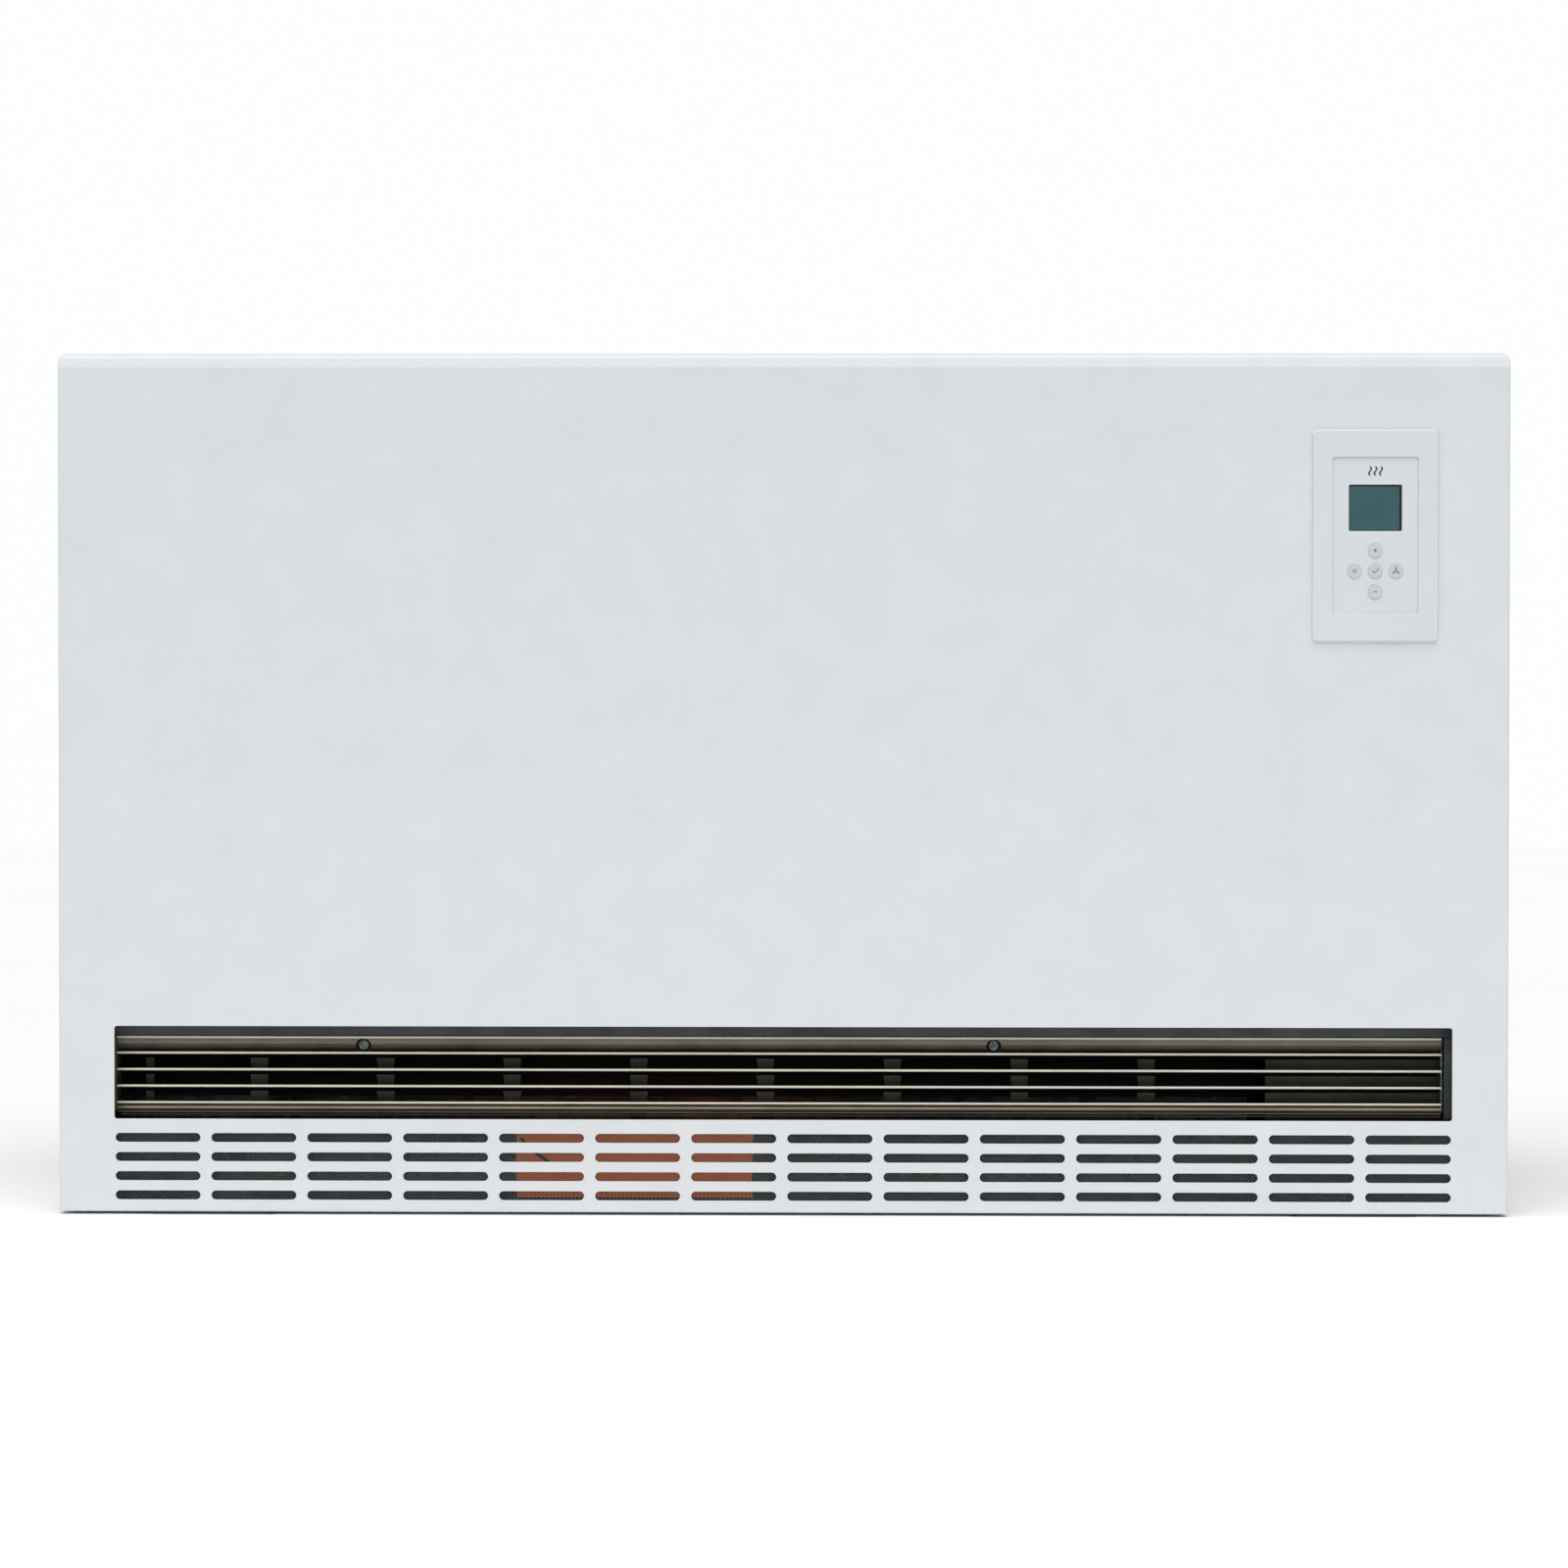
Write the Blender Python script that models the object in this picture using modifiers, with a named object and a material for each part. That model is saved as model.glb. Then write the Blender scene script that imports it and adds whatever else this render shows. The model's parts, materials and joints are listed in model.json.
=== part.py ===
"""Fan-assisted electric storage heater, floor standing, with its controls on the front.

Metres, +Z up, +X to the right of someone facing the heater, the front facing -Y.
The origin is on the floor, under the middle of the box that holds the whole heater.
"""

import math

import bmesh
import bpy
from mathutils import Matrix, Vector

# Overall sizes
WIDTH = 1.130
HEIGHT = 0.672
DEPTH = 0.250
BEZEL_PROUD = 0.0025

# Clearances and sheet thicknesses
GAP = 0.0003
SHEET = 0.001
THICK_SHEET = 0.002
FOLD_RADIUS = 0.002
FOLD_STEPS = 3
TIGHT_FOLD = 0.0012

# Casing
FLOOR_GAP = 0.002
RETURN = 0.020
LID_HEIGHT = 0.011
LID_FRONT_RADIUS = 0.010
LID_SIDE_RADIUS = 0.0065
LID_BACK_RADIUS = 0.002
LID_STEPS = 5
TRAY_LIP = 0.008
WALL_RECESS = 0.012
FOOT_WIDTH = 0.098
FOOT_FLAT = 0.060
FOOT_INSET = 0.120
FOOT_SETBACK = 0.0015
FOOT_STEPS = 4
BRACKET_LENGTH = 0.600
BRACKET_HEIGHT = 0.080
BRACKET_DROP = 0.052
BRACKET_HOLE_RADIUS = 0.004

# Air inlet: rows of long slots near the floor, with a dust filter behind them
SLOT_LENGTH = 0.0663
SLOT_HEIGHT = 0.007
SLOT_PITCH = 0.075
SLOT_ROWS = 4
SLOT_ROW_PITCH = 0.015
SLOT_FIRST_Z = 0.015
SLOT_SIDES = 12
FILTER_THICKNESS = 0.0034
FILTER_BORDER = 0.004
FILTER_POCKET = 0.002
FILTER_MARGIN = 0.035

# Warm-air outlet and its grille
OUTLET_MARGIN = 0.0435
OUTLET_SILL = 0.0047
OUTLET_HEIGHT = 0.0725
OUTLET_CORNER = 0.002
GRILLE_RECESS = 0.01475
GRILLE_DEPTH = 0.025
GRILLE_SHEET = 0.0012
GRILLE_LEFT_MARGIN = 0.0416
GRILLE_RIGHT_MARGIN = 0.0484
GRILLE_RISE = 0.0033
GRILLE_HEIGHT = 0.0605
GRILLE_TOP_FLANGE = 0.012
GRILLE_BOTTOM_FLANGE = 0.0055
LOUVRE_COUNT = 4
LOUVRE_PITCH = 0.01305
LOUVRE_LIP = 0.002
LOUVRE_LIP_DEPTH = 0.003
LOUVRE_SHEET = 0.001
LOUVRE_DROP = 0.0055
COMB_HEADROOM = 0.0015
COMB_RAIL = 0.002
COMB_FIRST = 0.110
COMB_PITCH = 0.100
COMB_WIDTH = 0.013
COMB_END_INSET = 0.0235
COMB_END_WIDTH = 0.0065
BLANK_WIDTH = 0.1366
GRILLE_SCREW_INSETS = {"left": 0.195, "right": 0.689}
SCREW_DROP = 0.007
SCREW_HEAD_RADIUS = 0.0044
SCREW_HEAD_HEIGHT = 0.0022
WASHER_RADIUS = 0.0056
WASHER_HEIGHT = 0.0008
SCREW_RADIUS = 0.002

# Fan: two rotors on one shaft, with the motor between them
FAN_TRAY_LEFT_INSET = 0.090
FAN_TRAY_BAY_INSET = 0.058
FAN_TRAY_FRONT = 0.02375
FAN_TRAY_DEPTH = 0.080
FAN_TRAY_LIP = 0.0065
COVER_RADIUS = 0.030
COVER_HEADROOM = 0.0031
COVER_SETBACK = 0.010
COVER_LENGTH = 0.186
COVER_SHEET = 0.0015
COVER_SWEEP = 240
COVER_STEPS = 16
ROTOR_RADIUS = 0.024
ROTOR_LEFT_LENGTH = 0.225
ROTOR_DISC = 0.002
ROTOR_BLADES = 12
ROTOR_SIDES = 24
BLADE_CHORD = 0.008
BLADE_THICKNESS = 0.001
BLADE_ANGLE = math.radians(35)
ROTOR_GAP = 0.015
BEARING_THICKNESS = 0.012
BEARING_WIDTH = 0.024
BEARING_HEIGHT = 0.044
BEARING_CLEARANCE = 0.008
BEARING_INSET = 0.005
SHAFT_RADIUS = 0.004
SHAFT_OVERHANG = 0.002
MOTOR_RADIUS = 0.025
MOTOR_LENGTH = 0.090
MOTOR_FOOT_LENGTH = 0.065
MOTOR_FOOT_WIDTH = 0.020
GUARD_FLANGE = 0.018
GUARD_HOLE_WIDTH = 0.0132
GUARD_HOLE_HEIGHT = 0.0365
GUARD_HOLE_HEADROOM = 0.0055
GUARD_HOLE_PITCH = 0.0165
GUARD_HOLE_SIDES = 10
GUARD_WINDOW_MARGIN = 0.002

# Heat store: four courses of bricks with the heating elements laid in grooves between them
LEFT_CLEARANCE = 0.045
CONTROL_BAY = 0.210
BRICKS_PER_COURSE = 5
COURSES = 4
CORE_TOP_DROP = 0.0856
CORE_FRONT = 0.07575
CORE_BACK = 0.04425
BRICK_JOINT = 0.004
GROOVE = 0.009
ELEMENT_RADIUS = 0.00325
ELEMENT_SPREAD = 0.060
ELEMENT_TURN_INSET = 0.040
ELEMENT_TERMINAL = 0.020
ELEMENT_TURN_STEPS = 8
ELEMENT_HOLE_RADIUS = 0.0045
FRONT_INSULATION = 0.0304
BACK_INSULATION = 0.0254
TOP_INSULATION = 0.0333
BOTTOM_INSULATION = 0.0324
LEFT_INSULATION = 0.0334
RIGHT_INSULATION = 0.0274
PARTITION_SHEET = 0.0015
COVER_PLATE_FLANGE = 0.030

# Air-mixing flap under the heat store, hung from the chassis legs
FLAP_RISE = 0.0025
FLAP_HEADROOM = 0.0115
FLAP_AXIS_DEPTH = 0.07875
FLAP_HEIGHT = 0.055
FLAP_ROD_RADIUS = 0.0025
FLAP_SIDE_CLEARANCE = 0.005
FLAP_ROD_OVERHANG = 0.0015
ACTUATOR_SIZE = (0.060, 0.050, 0.0062)
ACTUATOR_INSET = 0.125

# Controls on the front, at the right
CONTROL_INSET = 0.1046
CONTROL_DROP = 0.142
BEZEL_WIDTH = 0.0973
BEZEL_HEIGHT = 0.1643
BEZEL_CORNER = 0.0025
COLLAR_MARGIN = 0.0070
COLLAR_DEPTH = 0.014
FACE_WIDTH = 0.0662
FACE_HEIGHT = 0.1215
FACE_RECESS = 0.0015
FACE_THICKNESS = 0.0022
LEDGE_WIDTH = 0.003
DISPLAY_WIDTH = 0.0412
DISPLAY_HEIGHT = 0.036
DISPLAY_RISE = 0.0215
DISPLAY_SINK = 0.0007
DISPLAY_FLANGE = 0.003
FLANGE_THICKNESS = 0.001
KEY_DROP = 0.0276
KEY_PITCH = 0.016
KEY_RADIUS = 0.0055
KEY_FLANGE_RADIUS = 0.0066
KEY_PROUD = 0.0008
KEY_TRAVEL = 0.0006
KEY_SIDES = 24
BOARD_THICKNESS = 0.0016
RELAY_SIZE = (0.028, 0.012, 0.020)
KEY_PLACES = {
    "key_plus": (0, 1),
    "key_minus": (0, -1),
    "key_ok": (0, 0),
    "key_menu": (-1, 0),
    "key_fan": (1, 0),
}

# Wiring in the control bay
TERMINAL_SIZE = (0.030, 0.080, 0.040)
TERMINAL_BOTTOM = 0.200
TERMINAL_POLES = 5
TERMINAL_SLOT = 0.002
THERMOSTAT_RADIUS = 0.012
THERMOSTAT_LENGTH = 0.010
THERMOSTAT_FLANGE_RADIUS = 0.016
THERMOSTAT_FLANGE = 0.0015
THERMOSTAT_DROP = 0.222
GLAND_INSET = 0.095
GLAND_Z = 0.060
GLAND_HOLE_RADIUS = 0.0095
GLAND_FLANGE_RADIUS = 0.013
GLAND_BORE_RADIUS = 0.0055
GLAND_OUTSIDE = 0.008
GLAND_INSIDE = 0.012
ROUND_SIDES = 24

# Places worked out from the sizes above
RIGHT = WIDTH / 2
LEFT = -RIGHT
FRONT = -(DEPTH + BEZEL_PROUD) / 2 + BEZEL_PROUD
BACK = FRONT + DEPTH
LID_Z = HEIGHT - LID_HEIGHT
PANEL_TOP = LID_Z - GAP
INSIDE_RIGHT = RIGHT - SHEET - GAP
INSIDE_LEFT = -INSIDE_RIGHT
INSIDE_FRONT = FRONT + SHEET + GAP
TRAY_BOTTOM = FLOOR_GAP + SHEET + GAP
TRAY_TOP = TRAY_BOTTOM + SHEET
FILTER_BOTTOM = TRAY_BOTTOM + FOLD_RADIUS - SHEET
TRAY_FRONT = INSIDE_FRONT + FILTER_THICKNESS + GAP
BACK_FACE = BACK - WALL_RECESS - SHEET
FOOT_X = RIGHT - FOOT_INSET
FAN_LEFT = LEFT + FAN_TRAY_LEFT_INSET
FAN_FRONT = FRONT + FAN_TRAY_FRONT
FAN_TRAY_TOP = TRAY_TOP + GAP + SHEET
FAN_Y = FAN_FRONT + COVER_SETBACK + COVER_RADIUS
FAN_Z = FAN_TRAY_TOP + GAP + COVER_RADIUS
GUARD_TOP = FAN_Z + COVER_RADIUS + COVER_HEADROOM
OUTLET_FLOOR_Z = GUARD_TOP + SHEET
OUTLET_BOTTOM = OUTLET_FLOOR_Z + OUTLET_SILL
OUTLET_TOP = OUTLET_BOTTOM + OUTLET_HEIGHT
OUTLET_RIGHT = RIGHT - OUTLET_MARGIN
GRILLE_BOTTOM = OUTLET_BOTTOM + GRILLE_RISE
GRILLE_TOP = GRILLE_BOTTOM + GRILLE_HEIGHT
GRILLE_LEFT = LEFT + GRILLE_LEFT_MARGIN
GRILLE_RIGHT = RIGHT - GRILLE_RIGHT_MARGIN
GRILLE_FRONT = FRONT + GRILLE_RECESS
GRILLE_BACK = GRILLE_FRONT + GRILLE_DEPTH
COMB_FRONT = GRILLE_BACK + GAP
COMB_BACK = COMB_FRONT + SHEET
FLANGE_BOTTOM = GRILLE_TOP - GRILLE_TOP_FLANGE
FIRST_LIP_Z = FLANGE_BOTTOM - GAP - LOUVRE_LIP / 2
SCREW_Z = GRILLE_TOP - SCREW_DROP
FLAP_Y = FRONT + FLAP_AXIS_DEPTH
FLAP_AXIS_Z = GRILLE_TOP + FLAP_RISE
CHASSIS_TOP = FLAP_AXIS_Z + FLAP_HEADROOM
STORE_BOTTOM = CHASSIS_TOP + GAP
CORE_BOTTOM = STORE_BOTTOM + BOTTOM_INSULATION + GAP
CORE_LEFT = LEFT + LEFT_CLEARANCE
CORE_RIGHT = RIGHT - CONTROL_BAY
CORE_LENGTH = CORE_RIGHT - CORE_LEFT
CORE_FRONT_Y = FRONT + CORE_FRONT
CORE_BACK_Y = BACK - CORE_BACK
CORE_MID_Y = (CORE_FRONT_Y + CORE_BACK_Y) / 2
CORE_TOP = HEIGHT - CORE_TOP_DROP
COURSE_PITCH = (CORE_TOP - CORE_BOTTOM + GAP) / COURSES
COURSE_HEIGHT = COURSE_PITCH - GAP
STORE_LEFT = CORE_LEFT - GAP - LEFT_INSULATION
STORE_RIGHT = CORE_RIGHT + GAP + RIGHT_INSULATION
STORE_FRONT = CORE_FRONT_Y - GAP - FRONT_INSULATION
STORE_BACK = CORE_BACK_Y + GAP + BACK_INSULATION
STORE_TOP = CORE_TOP + GAP + TOP_INSULATION
CHASSIS_LEFT = STORE_LEFT - GAP - THICK_SHEET
CHASSIS_RIGHT = STORE_RIGHT + GAP + THICK_SHEET
PARTITION_X = STORE_RIGHT + GAP
FAN_RIGHT = CHASSIS_RIGHT - FAN_TRAY_BAY_INSET
ROTOR_LEFT_X = FAN_LEFT + BEARING_INSET + BEARING_THICKNESS + BEARING_CLEARANCE
COVER_X = ROTOR_LEFT_X + ROTOR_LEFT_LENGTH + ROTOR_GAP
MOTOR_X = COVER_X + COVER_LENGTH / 2
ROTOR_RIGHT_X = COVER_X + COVER_LENGTH + ROTOR_GAP
ROTOR_RIGHT_END = FAN_RIGHT - BEARING_INSET - BEARING_THICKNESS - BEARING_CLEARANCE
CONTROL_X = RIGHT - CONTROL_INSET
CONTROL_Z = HEIGHT - CONTROL_DROP
FACE_FRONT = FRONT - BEZEL_PROUD + FACE_RECESS
FACE_BACK = FACE_FRONT + FACE_THICKNESS
LEDGE_Y = FACE_BACK + GAP
KEY_CENTRE_Z = CONTROL_Z - KEY_DROP
BOARD_FRONT = LEDGE_Y + FLANGE_THICKNESS + KEY_TRAVEL + GAP
GLAND_X = RIGHT - GLAND_INSET

TURN = {
    "x": Matrix(((0, 0, 1, 0), (1, 0, 0, 0), (0, 1, 0, 0), (0, 0, 0, 1))),
    "y": Matrix(((1, 0, 0, 0), (0, 0, -1, 0), (0, 1, 0, 0), (0, 0, 0, 1))),
    "z": Matrix.Identity(4),
}


# Scene, collections and materials

def clear_scene():
    for old in list(bpy.data.objects):
        bpy.data.objects.remove(old, do_unlink=True)


def new_collection(name):
    made = bpy.data.collections.new(name)
    bpy.context.scene.collection.children.link(made)
    return made


def material(name, colour, roughness, metallic=0.0):
    made = bpy.data.materials.new(name)
    made.use_nodes = True
    shader = made.node_tree.nodes["Principled BSDF"]
    shader.inputs["Base Color"].default_value = (*colour, 1.0)
    shader.inputs["Roughness"].default_value = roughness
    shader.inputs["Metallic"].default_value = metallic
    return made


clear_scene()
PARTS = new_collection("storage_heater")
CUTTERS = new_collection("cutters")
WHITE = material("white_powder_coat", (0.72, 0.74, 0.76), 0.5)
WHITE_PLASTIC = material("white_plastic", (0.70, 0.72, 0.76), 0.4)
KEY_PLASTIC = material("key_plastic", (0.56, 0.59, 0.62), 0.45)
DISPLAY = material("display", (0.06, 0.13, 0.14), 0.1)
GALVANISED = material("galvanised_steel", (0.42, 0.43, 0.43), 0.45, 1.0)
BRONZE_PAINT = material("bronze_paint", (0.22, 0.20, 0.16), 0.45, 0.4)
DARK_PAINT = material("dark_paint", (0.035, 0.035, 0.03), 0.6)
FILTER_GREY = material("filter_mesh", (0.03, 0.045, 0.05), 0.7)
STEEL = material("bright_steel", (0.62, 0.62, 0.60), 0.3, 1.0)
ALUMINIUM = material("aluminium", (0.60, 0.61, 0.62), 0.4, 1.0)
COPPER_ORANGE = material("orange_housing", (0.55, 0.19, 0.06), 0.4)
BRICK = material("magnetite_brick", (0.09, 0.07, 0.06), 0.9)
INSULATION = material("insulation_board", (0.55, 0.52, 0.44), 0.95)
CIRCUIT_GREEN = material("circuit_board", (0.03, 0.15, 0.06), 0.5)
CERAMIC = material("ceramic", (0.75, 0.72, 0.66), 0.5)
BLACK_PLASTIC = material("black_plastic", (0.02, 0.02, 0.02), 0.5)
ELEMENT_STEEL = material("element_steel", (0.25, 0.23, 0.21), 0.5, 1.0)


# Modelling helpers

def add(name, mesh, look, collection=None):
    """Put a mesh in the scene as a part, or as a hidden cutter when it has no material."""
    made = bpy.data.objects.new(name, mesh)
    if look is None:
        collection = CUTTERS
        made.hide_render = True
        made.display_type = "WIRE"
    else:
        mesh.materials.append(look)
    (collection or PARTS).objects.link(made)
    return made


def mesh_from(bm, name):
    mesh = bpy.data.meshes.new(name)
    bm.to_mesh(mesh)
    bm.free()
    return mesh


def block_bmesh(x, y, z):
    """A cube stretched to the three (low, high) ranges."""
    bm = bmesh.new()
    bmesh.ops.create_cube(bm, size=1.0)
    size = Vector((x[1] - x[0], y[1] - y[0], z[1] - z[0]))
    middle = Vector((x[0] + x[1], y[0] + y[1], z[0] + z[1])) / 2
    bmesh.ops.transform(bm, matrix=Matrix.LocRotScale(middle, None, size), verts=bm.verts)
    return bm


def block(name, look, x, y, z):
    return add(name, mesh_from(block_bmesh(x, y, z), name), look)


def bevel_along(bm, axis, radius, steps, test=None):
    """Round the edges that run along an axis and pass the test."""
    edges = []
    for edge in bm.edges:
        run = edge.verts[1].co - edge.verts[0].co
        straight = abs(abs(run.normalized()["xyz".index(axis)]) - 1.0) < 1e-4
        if straight and len(edge.link_faces) == 2 and (test is None or test(edge)):
            edges.append(edge)
    bmesh.ops.bevel(bm, geom=edges, offset=radius, segments=steps, profile=0.5, affect="EDGES")


def shell(name, look, x, y, z, walls, sheet=SHEET, radius=FOLD_RADIUS):
    """Folded sheet: the named walls of a box, rounded where two of them meet."""
    bm = block_bmesh(x, y, z)
    kept = {wall: Vector([(1 if wall[0] == "+" else -1) * (wall[1] == a) for a in "xyz"]) for wall in walls}
    open_sides = [f for f in bm.faces if not any(f.normal.dot(n) > 0.9 for n in kept.values())]
    bmesh.ops.delete(bm, geom=open_sides, context="FACES")
    folds = [edge for edge in bm.edges if len(edge.link_faces) == 2]
    bmesh.ops.bevel(bm, geom=folds, offset=radius, segments=FOLD_STEPS, profile=0.5, affect="EDGES")
    made = add(name, mesh_from(bm, name), look)
    thicken(made, sheet)
    return made


def thicken(part, sheet):
    solidify = part.modifiers.new("sheet", "SOLIDIFY")
    solidify.thickness = sheet
    solidify.offset = -1.0
    solidify.use_even_offset = True


def rod(name, look, axis, centre, radius, start, end, sides=ROUND_SIDES):
    """A cylinder along an axis. The centre's own value on that axis isn't used."""
    bm = bmesh.new()
    bmesh.ops.create_cone(
        bm, cap_ends=True, segments=sides, radius1=radius, radius2=radius, depth=end - start
    )
    place = Vector(centre)
    place["xyz".index(axis)] = (start + end) / 2
    bmesh.ops.transform(bm, matrix=Matrix.Translation(place) @ TURN[axis], verts=bm.verts)
    made = add(name, mesh_from(bm, name), look)
    smooth(made)
    return made


def smooth(part, angle=math.radians(35)):
    part.data.shade_smooth()
    part.data.set_sharp_from_angle(angle=angle)


def extrusion(name, look, outline, axis, start, end):
    """A flat outline of (across, up) points, drawn out along an axis, as a welded mesh."""
    curve = bpy.data.curves.new(name, "CURVE")
    curve.dimensions = "2D"
    curve.fill_mode = "BOTH"
    curve.extrude = (end - start) / 2
    spline = curve.splines.new("POLY")
    spline.points.add(len(outline) - 1)
    for point, (across, up) in zip(spline.points, outline):
        point.co = (across, up, 0.0, 1.0)
    spline.use_cyclic_u = True
    drawn = bpy.data.objects.new(name + "_outline", curve)
    bpy.context.scene.collection.objects.link(drawn)
    shift = Vector((0.0, 0.0, 0.0))
    shift["xyz".index(axis)] = (start + end) / 2
    drawn.matrix_world = Matrix.Translation(shift) @ TURN[axis]
    evaluated = drawn.evaluated_get(bpy.context.evaluated_depsgraph_get())
    bm = bmesh.new()
    bm.from_mesh(bpy.data.meshes.new_from_object(evaluated))
    bmesh.ops.remove_doubles(bm, verts=bm.verts, dist=1e-6)
    bmesh.ops.recalc_face_normals(bm, faces=bm.faces)
    made = add(name, mesh_from(bm, name), look)
    made.matrix_world = drawn.matrix_world
    bpy.data.objects.remove(drawn)
    return made


def combine(part, other, operation):
    step = part.modifiers.new(operation.lower(), "BOOLEAN")
    step.operation = operation
    step.solver = "EXACT"
    step.object = other


def cut(part, cutter):
    combine(part, cutter, "DIFFERENCE")


def fuse(part, other):
    combine(part, other, "UNION")


def repeat(part, step, count):
    copies = part.modifiers.new("repeat", "ARRAY")
    copies.count = count
    copies.use_relative_offset = False
    copies.use_constant_offset = True
    copies.constant_offset_displace = step


def set_origin(part, point):
    """Move the part's origin to a point of its joint's axis, leaving its shape in place."""
    part.data.transform(Matrix.Translation(-Vector(point)))
    part.location = point


def span(middle, size):
    return middle - size / 2, middle + size / 2


def arc(centre, radius, start, end, steps):
    """Points from one angle to another, in degrees, counted from the across axis."""
    angles = [math.radians(start + (end - start) * i / steps) for i in range(steps + 1)]
    return [(centre[0] + radius * math.cos(a), centre[1] + radius * math.sin(a)) for a in angles]


# Casing

def front_panel():
    panel = shell(
        "front_panel", WHITE, (LEFT, RIGHT), (FRONT, FRONT + RETURN), (FLOOR_GAP, PANEL_TOP),
        ("-x", "+x", "-y", "-z"),
    )
    through = (FRONT - SHEET, FRONT + 2 * SHEET)
    outlet = block_bmesh((-OUTLET_RIGHT, OUTLET_RIGHT), through, (OUTLET_BOTTOM, OUTLET_TOP))
    bevel_along(outlet, "y", OUTLET_CORNER, 2)
    cut(panel, add("outlet_cutter", mesh_from(outlet, "outlet_cutter"), None))
    cut(panel, slot_cutter(through))
    collar_hole = block(
        "collar_cutter", None,
        span(CONTROL_X, BEZEL_WIDTH - 2 * COLLAR_MARGIN + 2 * GAP), through,
        span(CONTROL_Z, BEZEL_HEIGHT - 2 * COLLAR_MARGIN + 2 * GAP),
    )
    cut(panel, collar_hole)


def slot_cutter(through):
    """A bar with round ends, repeated in rows and columns. Its cylinder is pulled apart in the middle."""
    columns = int(2 * OUTLET_RIGHT / SLOT_PITCH + 0.5)
    half_step = math.pi / SLOT_SIDES
    radius = SLOT_HEIGHT / 2 / math.cos(half_step)
    first_x = -(columns - 1) / 2 * SLOT_PITCH
    cutter = rod("slot_cutter", None, "y", (0, 0, 0), radius, *through, sides=SLOT_SIDES)
    mesh = cutter.data
    mesh.transform(Matrix.Rotation(half_step, 4, "Y"))
    stretch = SLOT_LENGTH / 2 - SLOT_HEIGHT / 2
    for vertex in mesh.vertices:
        vertex.co.x += math.copysign(stretch, vertex.co.x)
    mesh.transform(Matrix.Translation((first_x, 0, SLOT_FIRST_Z)))
    repeat(cutter, (SLOT_PITCH, 0, 0), columns)
    repeat(cutter, (0, 0, SLOT_ROW_PITCH), SLOT_ROWS)
    return cutter


def top_cover():
    """A folded lid with a large round along its front and mitred corners."""
    cover = lid_form("top_cover", WHITE, 0.0, LID_Z)
    cut(cover, lid_form("lid_hollow", None, SHEET, LID_Z - SHEET))
    smooth(cover)


def lid_form(name, look, inset, bottom):
    """The solid where a side, a front and a top outline meet, set in by the given amount."""
    top = HEIGHT - inset
    front, back, right = FRONT + inset, BACK - inset, RIGHT - inset
    front_round, side_round, back_round = (
        radius - inset for radius in (LID_FRONT_RADIUS, LID_SIDE_RADIUS, LID_BACK_RADIUS)
    )
    side_outline = [(front, bottom)]
    side_outline += arc((front + front_round, top - front_round), front_round, 180, 90, LID_STEPS)
    side_outline += arc((back - back_round, top - back_round), back_round, 90, 0, FOLD_STEPS)
    side_outline += [(back, bottom)]
    front_outline = [(-right, bottom)]
    front_outline += arc((-right + side_round, top - side_round), side_round, 180, 90, LID_STEPS)
    front_outline += arc((right - side_round, top - side_round), side_round, 90, 0, LID_STEPS)
    front_outline += [(right, bottom)]
    form = extrusion(name, look, side_outline, "x", -right, right)
    crosswise = extrusion(name + "_crosswise", None, front_outline, "y", front - SHEET, back + SHEET)
    plan = block_bmesh((-right, right), (front, back + SHEET), (bottom - SHEET, top + SHEET))
    bevel_along(plan, "z", FOLD_RADIUS - inset, FOLD_STEPS, lambda edge: edge.verts[0].co.y < 0)
    combine(form, crosswise, "INTERSECT")
    combine(form, add(name + "_plan", mesh_from(plan, name + "_plan"), None), "INTERSECT")
    return form


def side_panel(name, side):
    outer = side * RIGHT
    inner = side * (RIGHT - RETURN)
    shell(
        name, WHITE, tuple(sorted((outer, inner))), (FRONT + RETURN + GAP, BACK), (FLOOR_GAP, PANEL_TOP),
        ("+x" if side > 0 else "-x", "-z"),
    )


def back_panel():
    panel = shell(
        "back_panel", GALVANISED, (INSIDE_LEFT, INSIDE_RIGHT), (BACK_FACE, BACK - GAP),
        (TRAY_BOTTOM, PANEL_TOP),
        ("-x", "+x", "-y", "-z", "+z"),
    )
    hole = rod(
        "gland_hole", None, "y", (GLAND_X, 0, GLAND_Z), GLAND_HOLE_RADIUS,
        BACK_FACE - SHEET, BACK_FACE + 2 * SHEET,
    )
    cut(panel, hole)


def base_tray():
    shell(
        "base_tray", GALVANISED, (INSIDE_LEFT, INSIDE_RIGHT), (TRAY_FRONT, BACK_FACE - GAP),
        (TRAY_BOTTOM, TRAY_BOTTOM + TRAY_LIP), ("-x", "+x", "-y", "+y", "-z"),
    )


def foot(name, middle):
    """A pressed skid: flat in the middle of its sole, curving up to its two long edges."""
    sole_top = FLOOR_GAP - GAP
    front = FRONT + FOOT_SETBACK
    back = BACK_FACE - GAP
    rise = (FOOT_WIDTH - FOOT_FLAT) / 2
    edge = [(FOOT_FLAT / 2 + rise * math.sin(a), sole_top * (1 - math.cos(a))) for a in foot_angles()]
    right_half = [(middle + x, z) for x, z in edge]
    left_half = [(middle - x, z) for x, z in reversed(edge)]
    skid = extrusion(name, GALVANISED, left_half + right_half, "y", front, back)
    pad_front = FRONT + RETURN + GAP
    pad = block(
        name + "_pad", None, span(middle, FOOT_FLAT), (pad_front, back), (sole_top / 2, TRAY_BOTTOM - GAP)
    )
    fuse(skid, pad)


def foot_angles():
    return [math.pi / 2 * i / FOOT_STEPS for i in range(FOOT_STEPS + 1)]


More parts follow.
